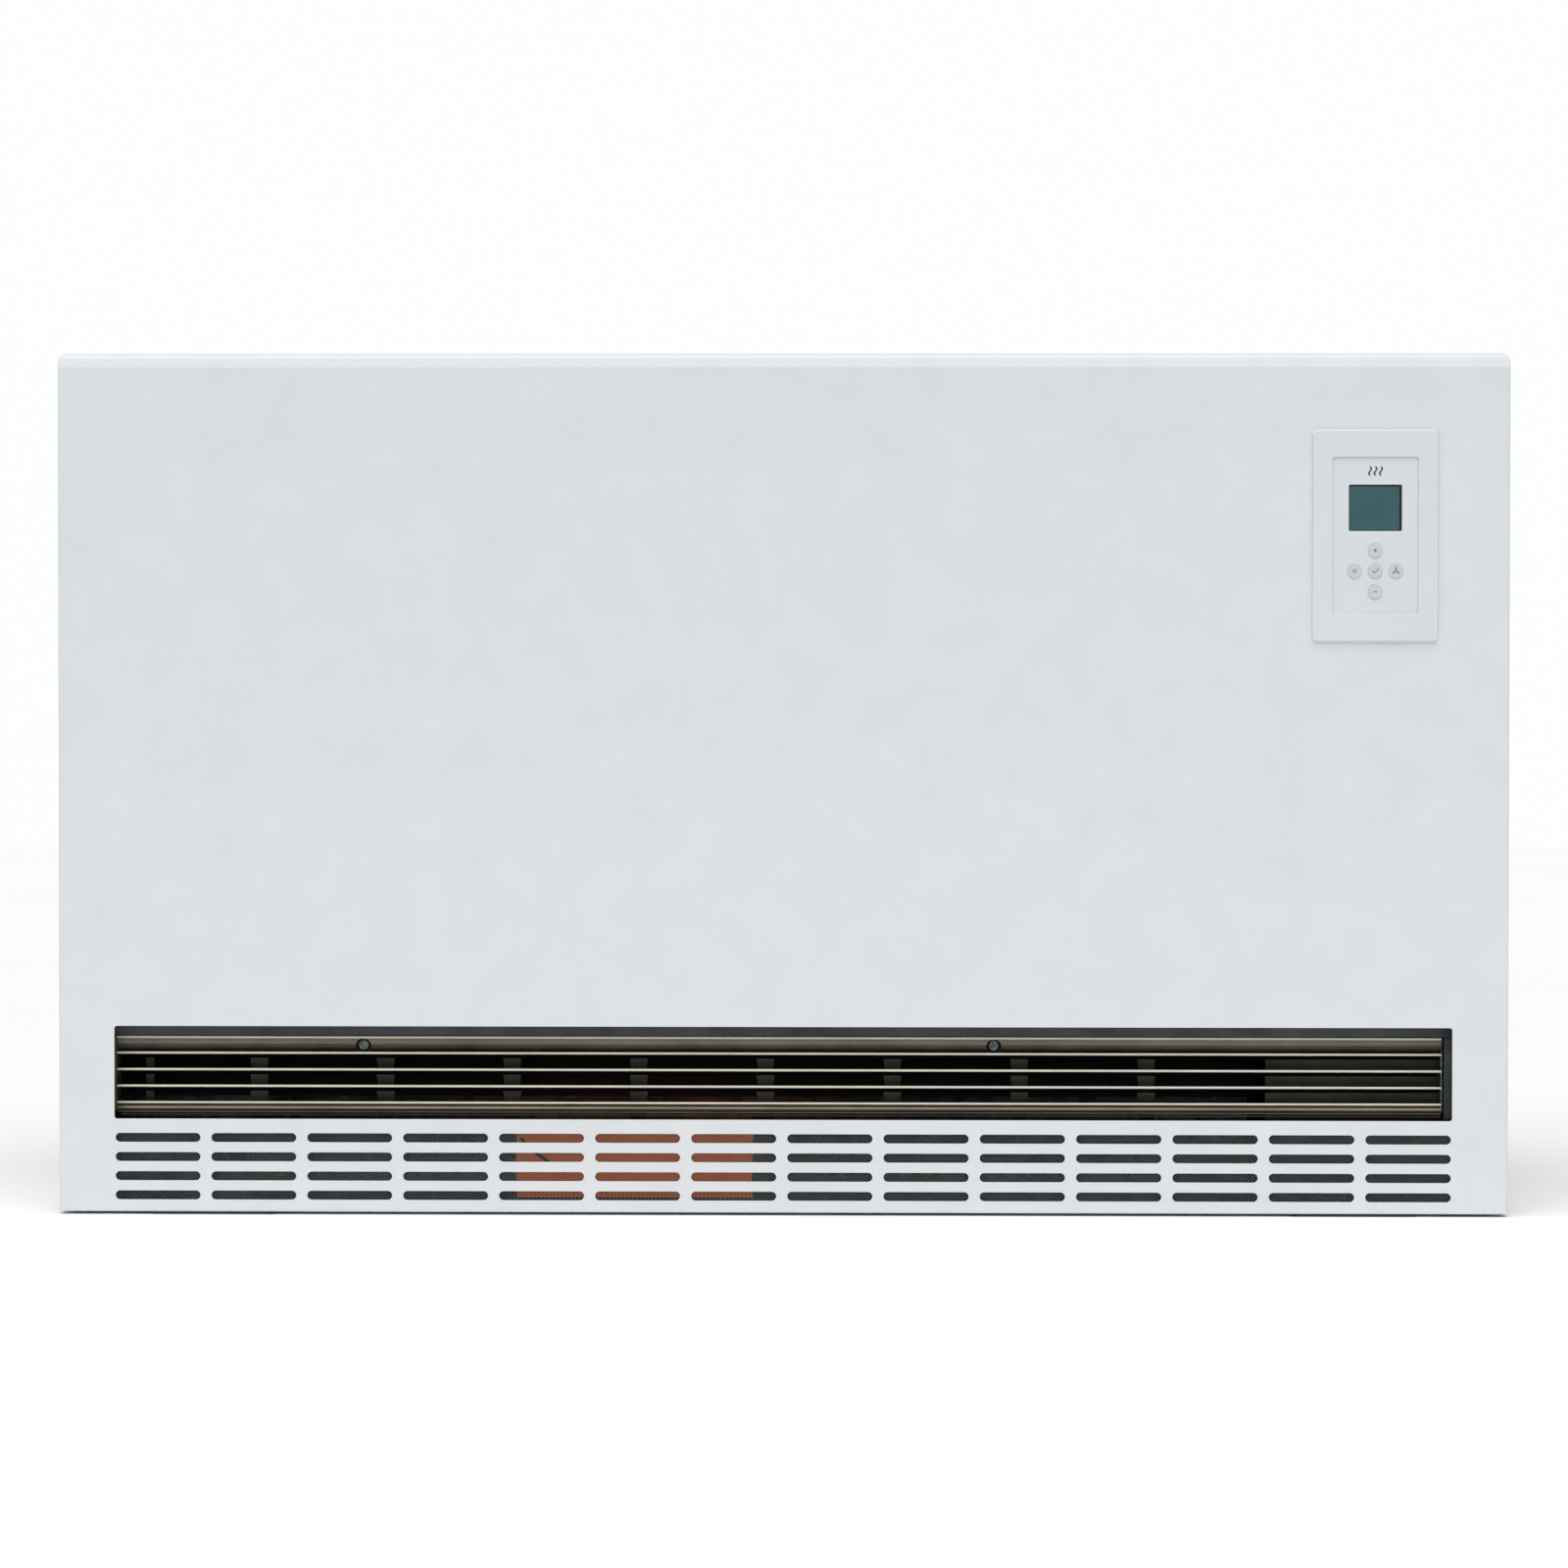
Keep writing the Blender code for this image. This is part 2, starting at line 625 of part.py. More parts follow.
def wall_bracket():
    """A Z-shaped bar: its lower leg lies on the wall, its upper leg on the back panel."""
    wall = BACK - THICK_SHEET
    near = BACK - WALL_RECESS + GAP
    top = PANEL_TOP - BRACKET_DROP + THICK_SHEET
    bottom = top - BRACKET_HEIGHT
    step = (top + bottom) / 2
    outline = [
        (wall, bottom), (BACK, bottom), (BACK, step + THICK_SHEET), (near + THICK_SHEET, step + THICK_SHEET),
        (near + THICK_SHEET, top), (near, top), (near, step), (wall, step),
    ]
    bar = extrusion("wall_bracket", GALVANISED, outline, "x", *span(0.0, BRACKET_LENGTH))
    spacing = BRACKET_LENGTH / 3
    holes = rod(
        "bracket_holes", None, "y", (-spacing, 0, (bottom + step) / 2), BRACKET_HOLE_RADIUS,
        wall - SHEET, BACK + SHEET,
    )
    repeat(holes, (spacing, 0, 0), 3)
    cut(bar, holes)


# Air inlet and outlet

def inlet_filter():
    width = WIDTH - 2 * FILTER_MARGIN
    back = INSIDE_FRONT + FILTER_THICKNESS
    pad = block(
        "inlet_filter", FILTER_GREY, span(0.0, width), (INSIDE_FRONT, back), (FILTER_BOTTOM, GUARD_TOP)
    )
    pocket = block(
        "filter_pocket", None, span(0.0, width - 2 * FILTER_BORDER), (back - FILTER_POCKET, back + SHEET),
        (FILTER_BOTTOM + FILTER_BORDER, GUARD_TOP - FILTER_BORDER),
    )
    cut(pad, pocket)


def outlet_floor():
    shell(
        "outlet_floor", GALVANISED, span(0.0, 2 * OUTLET_RIGHT + 2 * THICK_SHEET),
        (INSIDE_FRONT, STORE_FRONT - 2 * GAP), (OUTLET_FLOOR_Z, OUTLET_BOTTOM - GAP), ("-y", "-z"),
    )


def grille_frame():
    """Four walls around the louvres, with a fixing flange along the top and a stiffener below."""
    frame = shell(
        "grille_frame", BRONZE_PAINT, (GRILLE_LEFT, GRILLE_RIGHT), (GRILLE_FRONT, GRILLE_BACK),
        (GRILLE_BOTTOM, GRILLE_TOP), ("-x", "+x", "-z", "+z"), sheet=GRILLE_SHEET, radius=1.2 * GRILLE_SHEET,
    )
    plate = (GRILLE_FRONT, GRILLE_FRONT + GRILLE_SHEET)
    across = (GRILLE_LEFT + GRILLE_SHEET / 2, GRILLE_RIGHT - GRILLE_SHEET / 2)
    top_flange = (FLANGE_BOTTOM, GRILLE_TOP - GRILLE_SHEET / 2)
    bottom_flange = (GRILLE_BOTTOM + GRILLE_SHEET / 2, GRILLE_BOTTOM + GRILLE_BOTTOM_FLANGE)
    fuse(frame, block("top_flange", None, across, plate, top_flange))
    fuse(frame, block("bottom_flange", None, across, plate, bottom_flange))
    for side, inset in GRILLE_SCREW_INSETS.items():
        cut(frame, screw_hole("flange_hole_" + side, inset, plate))


def screw_hole(name, inset, through):
    centre = (GRILLE_LEFT + inset, 0, SCREW_Z)
    return rod(
        name, None, "y", centre, SCREW_RADIUS + GAP, through[0] - SHEET, through[1] + SHEET, sides=16
    )


def louvre(name, lip_z):
    """A blade that slopes down to the back, with a thicker rounded lip along its front."""
    half_lip = LOUVRE_LIP / 2
    half_sheet = LOUVRE_SHEET / 2
    rear_z = lip_z - LOUVRE_DROP
    lip_back = GRILLE_FRONT + LOUVRE_LIP_DEPTH
    nose = GRILLE_FRONT + half_lip / 2
    outline = [
        (GRILLE_FRONT, lip_z - half_lip / 2), (nose, lip_z - half_lip), (lip_back, lip_z - half_lip),
        (lip_back, lip_z - half_sheet), (GRILLE_BACK, rear_z - half_sheet), (GRILLE_BACK, rear_z + half_sheet),
        (lip_back, lip_z + half_sheet), (lip_back, lip_z + half_lip), (nose, lip_z + half_lip),
        (GRILLE_FRONT, lip_z + half_lip / 2),
    ]
    clear = GRILLE_SHEET + GAP
    extrusion(name, BRONZE_PAINT, outline, "x", GRILLE_LEFT + clear, GRILLE_RIGHT - clear)


def grille_back_frame():
    """A plate behind the louvres, cut away to leave the uprights and a blank end at the control bay."""
    bottom = OUTLET_FLOOR_Z + SHEET + GAP
    plate = block(
        "grille_back_frame", DARK_PAINT, (GRILLE_LEFT, GRILLE_RIGHT), (COMB_FRONT, COMB_BACK),
        (bottom, GRILLE_TOP + COMB_HEADROOM),
    )
    through = (COMB_FRONT - SHEET, COMB_BACK + SHEET)
    height = (GRILLE_BOTTOM + COMB_RAIL, FLANGE_BOTTOM - GAP)
    blank_left = GRILLE_RIGHT - BLANK_WIDTH
    first = GRILLE_LEFT + COMB_FIRST + COMB_WIDTH / 2
    count = int((blank_left - first) / COMB_PITCH + 1e-6)
    if count > 0:
        windows = block("comb_windows", None, (first, first + COMB_PITCH - COMB_WIDTH), through, height)
        repeat(windows, (COMB_PITCH, 0, 0), count)
        cut(plate, windows)
    last = first + count * COMB_PITCH
    if blank_left - last > COMB_WIDTH:
        cut(plate, block("last_window", None, (last, blank_left), through, height))
    end_upright = GRILLE_LEFT + COMB_END_INSET
    margin = THICK_SHEET * 2
    outer = (GRILLE_LEFT + margin, end_upright - COMB_END_WIDTH / 2)
    inner = (end_upright + COMB_END_WIDTH / 2, first - COMB_WIDTH)
    cut(plate, block("end_window_outer", None, outer, through, height))
    cut(plate, block("end_window_inner", None, inner, through, height))
    for side, inset in GRILLE_SCREW_INSETS.items():
        cut(plate, screw_hole("comb_hole_" + side, inset, (COMB_FRONT, COMB_BACK)))


def grille_screw(side, inset):
    """A pan-head screw with its washer, turned about the axis that runs front to back."""
    washer_back = GRILLE_FRONT - GAP
    head_back = washer_back - WASHER_HEIGHT
    head_front = head_back - SCREW_HEAD_HEIGHT
    end = COMB_BACK + 2 * THICK_SHEET
    profile = [
        (0.0, end), (SCREW_RADIUS, end), (SCREW_RADIUS, washer_back), (WASHER_RADIUS, washer_back),
        (WASHER_RADIUS, head_back), (SCREW_HEAD_RADIUS, head_back),
        (SCREW_HEAD_RADIUS, head_back - SCREW_HEAD_HEIGHT / 2), (SCREW_HEAD_RADIUS * 0.75, head_front),
        (0.0, head_front),
    ]
    turned("grille_screw_" + side, STEEL, profile, (GRILLE_LEFT + inset, SCREW_Z), sides=16)


def turned(name, look, profile, place, sides=ROUND_SIDES):
    """A solid turned about a line along Y through place (x, z).

    Its profile is (radius, y) points that run along the outer side from the back to the front.
    """
    bm = bmesh.new()
    points = [bm.verts.new((radius, 0.0, -along)) for radius, along in reversed(profile)]
    for first, second in zip(points, points[1:]):
        bm.edges.new((first, second))
    if profile[0][0] > 0.0:
        bm.edges.new((points[-1], points[0]))
    made = add(name, mesh_from(bm, name), look)
    spin = made.modifiers.new("turn", "SCREW")
    spin.axis = "Z"
    spin.steps = sides
    spin.render_steps = sides
    spin.use_merge_vertices = True
    spin.merge_threshold = 1e-5
    spin.use_smooth_shade = False
    made.matrix_world = Matrix.Translation((place[0], 0.0, place[1])) @ TURN["y"]
    return made


# Fan unit

def fan_tray():
    shell(
        "fan_tray", GALVANISED, (FAN_LEFT, FAN_RIGHT), (FAN_FRONT, FAN_FRONT + FAN_TRAY_DEPTH),
        (TRAY_TOP + GAP, TRAY_TOP + GAP + FAN_TRAY_LIP), ("-x", "+x", "-y", "+y", "-z"), radius=TIGHT_FOLD,
    )


def fan_guard():
    """A plate in front of the rotors, with a row of tall holes over each and a window at the motor."""
    margin = BEARING_INSET
    front = FAN_FRONT + SHEET + GAP
    bottom = FAN_TRAY_TOP + GAP
    guard = shell(
        "fan_guard", GALVANISED, (FAN_LEFT + margin, FAN_RIGHT - margin), (front, front + GUARD_FLANGE),
        (bottom, GUARD_TOP), ("-y", "+z"), radius=TIGHT_FOLD,
    )
    through = (front - SHEET, front + 2 * SHEET)
    window = (COVER_X - GUARD_WINDOW_MARGIN, COVER_X + COVER_LENGTH + GUARD_WINDOW_MARGIN)
    cut(guard, block("guard_window", None, window, through, (bottom - SHEET, GUARD_TOP - 2.5 * SHEET)))
    left = (ROTOR_LEFT_X, ROTOR_LEFT_X + ROTOR_LEFT_LENGTH)
    right = (ROTOR_RIGHT_X, ROTOR_RIGHT_END)
    for name, (start, end) in {"guard_holes_left": left, "guard_holes_right": right}.items():
        count = int((end - start) / GUARD_HOLE_PITCH) + 1
        first = (start + end - (count - 1) * GUARD_HOLE_PITCH) / 2
        holes = guard_hole(name, first, through)
        repeat(holes, (GUARD_HOLE_PITCH, 0, 0), count)
        cut(guard, holes)


def guard_hole(name, x, through):
    """An upright cutter with round ends: a cylinder whose halves are pulled apart."""
    radius = GUARD_HOLE_WIDTH / 2
    middle_z = GUARD_TOP - GUARD_HOLE_HEADROOM - GUARD_HOLE_HEIGHT / 2
    cutter = rod(name, None, "y", (0, 0, 0), radius, *through, sides=GUARD_HOLE_SIDES)
    for vertex in cutter.data.vertices:
        if abs(vertex.co.z) > 1e-6:
            vertex.co.z += math.copysign(GUARD_HOLE_HEIGHT / 2 - radius, vertex.co.z)
    cutter.data.transform(Matrix.Translation((x, 0, middle_z)))
    return cutter


def motor_cover():
    """Part of a tube round the front and top of the motor, standing on the fan tray."""
    centre = (FAN_Y, FAN_Z)
    outline = arc(centre, COVER_RADIUS, -90, -90 - COVER_SWEEP, COVER_STEPS)
    outline += arc(centre, COVER_RADIUS - COVER_SHEET, -90 - COVER_SWEEP, -90, COVER_STEPS)
    cover = extrusion("motor_cover", COPPER_ORANGE, outline, "x", COVER_X, COVER_X + COVER_LENGTH)
    smooth(cover)


def fan_motor():
    centre = (0, FAN_Y, FAN_Z)
    motor = rod("fan_motor", GALVANISED, "x", centre, MOTOR_RADIUS, *span(MOTOR_X, MOTOR_LENGTH))
    saddle = block(
        "motor_saddle", None, span(MOTOR_X, MOTOR_FOOT_LENGTH),
        (FAN_Y + SHEET, FAN_Y + SHEET + MOTOR_FOOT_WIDTH), (FAN_TRAY_TOP + GAP, FAN_Z - MOTOR_RADIUS / 2),
    )
    fuse(motor, saddle)
    cut(motor, shaft_hole("motor_bore", MOTOR_X, MOTOR_LENGTH))


def shaft_hole(name, middle, length):
    start, end = span(middle, length + 2 * SHEET)
    return rod(name, None, "x", (0, FAN_Y, FAN_Z), SHAFT_RADIUS + GAP, start, end, sides=16)


def fan_shaft():
    start = FAN_LEFT + BEARING_INSET - SHAFT_OVERHANG
    end = FAN_RIGHT - BEARING_INSET + SHAFT_OVERHANG
    shaft = rod("fan_shaft", STEEL, "x", (0, FAN_Y, FAN_Z), SHAFT_RADIUS, start, end, sides=16)
    set_origin(shaft, (MOTOR_X, FAN_Y, FAN_Z))


def fan_rotor(name, start, end):
    """A cross-flow wheel: three discs joined by a ring of slanted blades."""
    centre = (0, FAN_Y, FAN_Z)
    rotor = rod(name, ALUMINIUM, "x", centre, ROTOR_RADIUS, start, start + ROTOR_DISC, sides=ROTOR_SIDES)
    repeat(rotor, ((end - start - ROTOR_DISC) / 2, 0, 0), 3)
    blades = add(name + "_blades", blade_ring(start + ROTOR_DISC / 2, end - ROTOR_DISC / 2), None)
    fuse(rotor, blades)
    cut(rotor, shaft_hole(name + "_bore", (start + end) / 2, end - start))
    set_origin(rotor, (start, FAN_Y, FAN_Z))


def blade_ring(start, end):
    ring = bmesh.new()
    reach = ROTOR_RADIUS - BLADE_CHORD / 2 - BLADE_THICKNESS
    for i in range(ROTOR_BLADES):
        blade = block_bmesh((start, end), span(0.0, BLADE_CHORD), span(0.0, BLADE_THICKNESS))
        around = Matrix.Rotation(2 * math.pi * i / ROTOR_BLADES, 4, "X")
        pose = around @ Matrix.Translation((0, reach, 0)) @ Matrix.Rotation(BLADE_ANGLE, 4, "X")
        blade.transform(Matrix.Translation((0, FAN_Y, FAN_Z)) @ pose)
        piece = mesh_from(blade, "blade")
        ring.from_mesh(piece)
        bpy.data.meshes.remove(piece)
    return mesh_from(ring, "blade_ring")


def bearing(name, start):
    across = span(FAN_Y, BEARING_WIDTH)
    end = start + BEARING_THICKNESS
    bottom = FAN_TRAY_TOP + GAP
    support = block(name, BLACK_PLASTIC, (start, end), across, (bottom, bottom + BEARING_HEIGHT))
    cut(support, shaft_hole(name + "_bore", (start + end) / 2, BEARING_THICKNESS))


# Heat store

def brick_course(index):
    """One layer of bricks. Shallow V joints mark the bricks, and its top is grooved for an element."""
    bottom = CORE_BOTTOM + index * COURSE_PITCH
    top = bottom + COURSE_HEIGHT
    name = "brick_course_{}".format(index + 1)
    course = block(name, BRICK, (CORE_LEFT, CORE_RIGHT), (CORE_FRONT_Y, CORE_BACK_Y), (bottom, top))
    for face in (CORE_FRONT_Y, CORE_BACK_Y):
        cut(course, joint_cutter(name, face, bottom, top))
    if index < COURSES - 1:
        for piece in groove_cutters(name, top):
            cut(course, piece)


def joint_cutter(name, face, bottom, top):
    brick = CORE_LENGTH / BRICKS_PER_COURSE
    bm = block_bmesh(span(0, BRICK_JOINT), span(0, BRICK_JOINT), (bottom - SHEET, top + SHEET))
    bm.transform(Matrix.Rotation(math.radians(45), 4, "Z"))
    bm.transform(Matrix.Translation((CORE_LEFT + brick, face, 0)))
    cutter = add(name + "_joints", mesh_from(bm, name + "_joints"), None)
    repeat(cutter, (brick, 0, 0), BRICKS_PER_COURSE - 1)
    return cutter


def groove_cutters(name, top):
    """Two straight grooves and the pocket that joins them around the element's turn."""
    height = (top - GROOVE, top + SHEET)
    turn_x = CORE_LEFT + ELEMENT_TURN_INSET
    legs = block(
        name + "_grooves", None, (turn_x, CORE_RIGHT + SHEET),
        span(CORE_MID_Y - ELEMENT_SPREAD / 2, GROOVE), height,
    )
    repeat(legs, (0, ELEMENT_SPREAD, 0), 2)
    reach = ELEMENT_SPREAD / 2 + GROOVE / 2
    pocket = block(
        name + "_turn", None, (turn_x - reach, turn_x + SHEET), span(CORE_MID_Y, 2 * reach), height
    )
    return legs, pocket


def heating_element(index):
    """A hairpin of tube that lies in the grooves, with both ends in the control bay."""
    level = CORE_BOTTOM + index * COURSE_PITCH + COURSE_HEIGHT - GROOVE / 2
    turn_x = CORE_LEFT + ELEMENT_TURN_INSET
    half = ELEMENT_SPREAD / 2
    terminal_x = PARTITION_X + PARTITION_SHEET + ELEMENT_TERMINAL
    points = [(terminal_x, CORE_MID_Y + half, level)]
    for i in range(ELEMENT_TURN_STEPS + 1):
        angle = math.pi / 2 + math.pi * i / ELEMENT_TURN_STEPS
        points.append((turn_x + half * math.cos(angle), CORE_MID_Y + half * math.sin(angle), level))
    points.append((terminal_x, CORE_MID_Y - half, level))
    curve = bpy.data.curves.new("heating_element", "CURVE")
    curve.dimensions = "3D"
    curve.bevel_depth = ELEMENT_RADIUS
    curve.bevel_resolution = 2
    curve.use_fill_caps = True
    spline = curve.splines.new("POLY")
    spline.points.add(len(points) - 1)
    for point, place in zip(spline.points, points):
        point.co = (*place, 1.0)
    curve.materials.append(ELEMENT_STEEL)
    tube = bpy.data.objects.new("heating_element_{}".format(index + 1), curve)
    PARTS.objects.link(tube)


def element_holes(name, start, end):
    """The holes that the elements' legs pass through: one pair for each element."""
    first_z = CORE_BOTTOM + COURSE_HEIGHT - GROOVE / 2
    holes = rod(
        name, None, "x", (0, CORE_MID_Y - ELEMENT_SPREAD / 2, first_z), ELEMENT_HOLE_RADIUS,
        start - SHEET, end + SHEET, sides=12,
    )
    repeat(holes, (0, ELEMENT_SPREAD, 0), 2)
    repeat(holes, (0, 0, COURSE_PITCH), COURSES - 1)
    return holes


def insulation():
    store_x = (STORE_LEFT, STORE_RIGHT)
    store_y = (STORE_FRONT, STORE_BACK)
    core_y = (CORE_FRONT_Y, CORE_BACK_Y)
    core_z = (CORE_BOTTOM, CORE_TOP)
    right_x = (CORE_RIGHT + GAP, STORE_RIGHT)
    block("insulation_bottom", INSULATION, store_x, store_y, (STORE_BOTTOM, CORE_BOTTOM - GAP))
    block("insulation_top", INSULATION, store_x, store_y, (CORE_TOP + GAP, STORE_TOP))
    block("insulation_front", INSULATION, store_x, (STORE_FRONT, CORE_FRONT_Y - GAP), core_z)
    block("insulation_back", INSULATION, store_x, (CORE_BACK_Y + GAP, STORE_BACK), core_z)
    block("insulation_left", INSULATION, (STORE_LEFT, CORE_LEFT - GAP), core_y, core_z)
    right = block("insulation_right", INSULATION, right_x, core_y, core_z)
    cut(right, element_holes("insulation_holes", *right_x))


def core_cover():
    shell(
        "core_cover", GALVANISED, (STORE_LEFT, PARTITION_X + PARTITION_SHEET),
        (STORE_FRONT - GAP - SHEET, STORE_FRONT + COVER_PLATE_FLANGE),
        (STORE_BOTTOM, STORE_TOP + GAP + SHEET), ("-y", "+z"), radius=TIGHT_FOLD,
    )


def core_chassis():
    """The table that carries the heat store, with a hole in each leg for the flap's rod."""
    chassis = shell(
        "core_chassis", GALVANISED, (CHASSIS_LEFT, CHASSIS_RIGHT), (STORE_FRONT, STORE_BACK),
        (TRAY_TOP + GAP, CHASSIS_TOP), ("-x", "+x", "+z"), sheet=THICK_SHEET, radius=2 * THICK_SHEET,
    )
    holes = rod(
        "flap_rod_holes", None, "x", (0, FLAP_Y, FLAP_AXIS_Z), FLAP_ROD_RADIUS + GAP,
        CHASSIS_LEFT - SHEET, CHASSIS_RIGHT + SHEET, sides=16,
    )
    cut(chassis, holes)


def partition_plate():
    plate_x = (PARTITION_X, PARTITION_X + PARTITION_SHEET)
    plate = block(
        "partition_plate", GALVANISED, plate_x, (STORE_FRONT, STORE_BACK), (STORE_BOTTOM, STORE_TOP)
    )
    cut(plate, element_holes("partition_holes", *plate_x))


def air_flap():
    """A sheet that hangs from a rod, whose ends turn in the chassis legs."""
    left = CHASSIS_LEFT + THICK_SHEET
    right = CHASSIS_RIGHT - THICK_SHEET
    flap = block(
        "air_flap", DARK_PAINT, (left + FLAP_SIDE_CLEARANCE, right - FLAP_SIDE_CLEARANCE),
        span(FLAP_Y, SHEET), (FLAP_AXIS_Z - FLAP_HEIGHT, FLAP_AXIS_Z),
    )
    pivot = rod(
        "flap_rod", None, "x", (0, FLAP_Y, FLAP_AXIS_Z), FLAP_ROD_RADIUS,
        CHASSIS_LEFT - FLAP_ROD_OVERHANG, CHASSIS_RIGHT + FLAP_ROD_OVERHANG, sides=16,
    )
    fuse(flap, pivot)
    set_origin(flap, (0.0, FLAP_Y, FLAP_AXIS_Z))


def flap_actuator():
    """The bimetal unit that works the flap, hung under the chassis top."""
    top = CHASSIS_TOP - THICK_SHEET - GAP
    length, width, height = ACTUATOR_SIZE
    middle_x = CHASSIS_RIGHT - ACTUATOR_INSET
    middle_y = FLAP_Y + 3 * FLAP_ROD_RADIUS + width / 2
    block("flap_actuator", STEEL, span(middle_x, length), span(middle_y, width), (top - height, top))


# Controls

def control_bezel():
    """A frame that stands proud of the front panel, with a collar through it and a ledge inside."""
    plate = block_bmesh(
        span(CONTROL_X, BEZEL_WIDTH), (FRONT - BEZEL_PROUD, FRONT - GAP), span(CONTROL_Z, BEZEL_HEIGHT)
    )
    bevel_along(plate, "y", BEZEL_CORNER, 3)
    bezel = add("control_bezel", mesh_from(plate, "control_bezel"), WHITE_PLASTIC)
    collar = block(
        "bezel_collar", None, span(CONTROL_X, BEZEL_WIDTH - 2 * COLLAR_MARGIN),
        (FRONT - BEZEL_PROUD / 2, FRONT + COLLAR_DEPTH), span(CONTROL_Z, BEZEL_HEIGHT - 2 * COLLAR_MARGIN),
    )
    fuse(bezel, collar)
    recess = block(
        "bezel_recess", None, span(CONTROL_X, FACE_WIDTH), (FRONT - 2 * BEZEL_PROUD, LEDGE_Y),
        span(CONTROL_Z, FACE_HEIGHT),
    )
    opening = block(
        "bezel_opening", None, span(CONTROL_X, FACE_WIDTH - 2 * LEDGE_WIDTH),
        (FRONT - 2 * BEZEL_PROUD, FRONT + COLLAR_DEPTH + SHEET),
        span(CONTROL_Z, FACE_HEIGHT - 2 * LEDGE_WIDTH),
    )
    cut(bezel, recess)
    cut(bezel, opening)


def key_place(name):
    column, row = KEY_PLACES[name]
    return CONTROL_X + column * KEY_PITCH, KEY_CENTRE_Z + row * KEY_PITCH


def keypad_panel():
    face = block(
        "keypad_panel", WHITE_PLASTIC, span(CONTROL_X, FACE_WIDTH - 2 * GAP), (FACE_FRONT, FACE_BACK),
        span(CONTROL_Z, FACE_HEIGHT - 2 * GAP),
    )
    through = (FACE_FRONT - SHEET, FACE_BACK + SHEET)
    window = block(
        "display_hole", None, span(CONTROL_X, DISPLAY_WIDTH + 2 * GAP), through,
        span(CONTROL_Z + DISPLAY_RISE, DISPLAY_HEIGHT + 2 * GAP),
    )
    cut(face, window)
    for name in KEY_PLACES:
        x, z = key_place(name)
        cut(face, rod(name + "_hole", None, "y", (x, 0, z), KEY_RADIUS + GAP, *through, sides=KEY_SIDES))


def display_window():
    """The display, held behind the keypad panel by a thin flange."""
    middle_z = CONTROL_Z + DISPLAY_RISE
    back = LEDGE_Y + FLANGE_THICKNESS
    pane = block(
        "display_window", DISPLAY, span(CONTROL_X, DISPLAY_WIDTH), (FACE_FRONT + DISPLAY_SINK, back),
        span(middle_z, DISPLAY_HEIGHT),
    )
    flange = block(
        "display_flange", None, span(CONTROL_X, DISPLAY_WIDTH + 2 * DISPLAY_FLANGE),
        (LEDGE_Y, back), span(middle_z, DISPLAY_HEIGHT + 2 * DISPLAY_FLANGE),
    )
    fuse(pane, flange)


def key(name):
    """A round key cap with a flange that keeps it behind the keypad panel."""
    x, z = key_place(name)
    front = FACE_FRONT - KEY_PROUD
    back = LEDGE_Y + FLANGE_THICKNESS
    profile = [
        (0.0, back), (KEY_FLANGE_RADIUS, back), (KEY_FLANGE_RADIUS, LEDGE_Y), (KEY_RADIUS, LEDGE_Y),
        (KEY_RADIUS, front + KEY_PROUD / 2), (KEY_RADIUS - KEY_PROUD / 2, front), (0.0, front),
    ]
    turned(name, KEY_PLASTIC, profile, (x, z), sides=KEY_SIDES)


def control_board():
    width = FACE_WIDTH - 2 * LEDGE_WIDTH - 2 * GAP
    height = FACE_HEIGHT - 2 * LEDGE_WIDTH - 2 * GAP
    back = BOARD_FRONT + BOARD_THICKNESS
    board = block(
        "control_board", CIRCUIT_GREEN, span(CONTROL_X, width), (BOARD_FRONT, back), span(CONTROL_Z, height)
    )
    length, depth, tall = RELAY_SIZE
    relay = block(
        "board_relay", None, span(CONTROL_X, length), (back - BOARD_THICKNESS / 2, back + depth),
        span(CONTROL_Z, tall),
    )
    fuse(board, relay)


# Wiring

def terminal_block():
    width, depth, height = TERMINAL_SIZE
    left = PARTITION_X + PARTITION_SHEET + GAP
    body = block(
        "terminal_block", CERAMIC, (left, left + width), span(CORE_MID_Y, depth),
        (TERMINAL_BOTTOM, TERMINAL_BOTTOM + height),
    )
    pole = depth / TERMINAL_POLES
    slots = block(
        "terminal_slots", None, (left + width / 2, left + width + SHEET),
        span(CORE_MID_Y - depth / 2 + pole, TERMINAL_SLOT),
        (TERMINAL_BOTTOM - SHEET, TERMINAL_BOTTOM + height + SHEET),
    )
    repeat(slots, (0, pole, 0), TERMINAL_POLES - 1)
    cut(body, slots)


def safety_thermostat():
    left = PARTITION_X + PARTITION_SHEET + GAP
    centre = (0, CORE_MID_Y, HEIGHT - THERMOSTAT_DROP)
    disc = rod(
        "safety_thermostat", CERAMIC, "x", centre, THERMOSTAT_FLANGE_RADIUS, left, left + THERMOSTAT_FLANGE
    )
    body = rod(
        "thermostat_body", None, "x", centre, THERMOSTAT_RADIUS, left + THERMOSTAT_FLANGE / 2,
        left + THERMOSTAT_LENGTH,
    )
    fuse(disc, body)


def cable_gland():
    """A bush in the back panel for the supply cable, open through its middle."""
    outer_face = BACK - WALL_RECESS + GAP
    inner_face = BACK_FACE - GAP
    neck = GLAND_HOLE_RADIUS - GAP
    rim = (GLAND_FLANGE_RADIUS + neck) / 2
    profile = [
        (GLAND_BORE_RADIUS, inner_face - GLAND_INSIDE), (GLAND_BORE_RADIUS, outer_face + GLAND_OUTSIDE),
        (rim, outer_face + GLAND_OUTSIDE), (GLAND_FLANGE_RADIUS, outer_face + GLAND_OUTSIDE / 2),
        (GLAND_FLANGE_RADIUS, outer_face), (neck, outer_face), (neck, inner_face), (rim, inner_face),
        (rim, inner_face - GLAND_INSIDE),
    ]
    turned("cable_gland", BLACK_PLASTIC, profile, (GLAND_X, GLAND_Z))


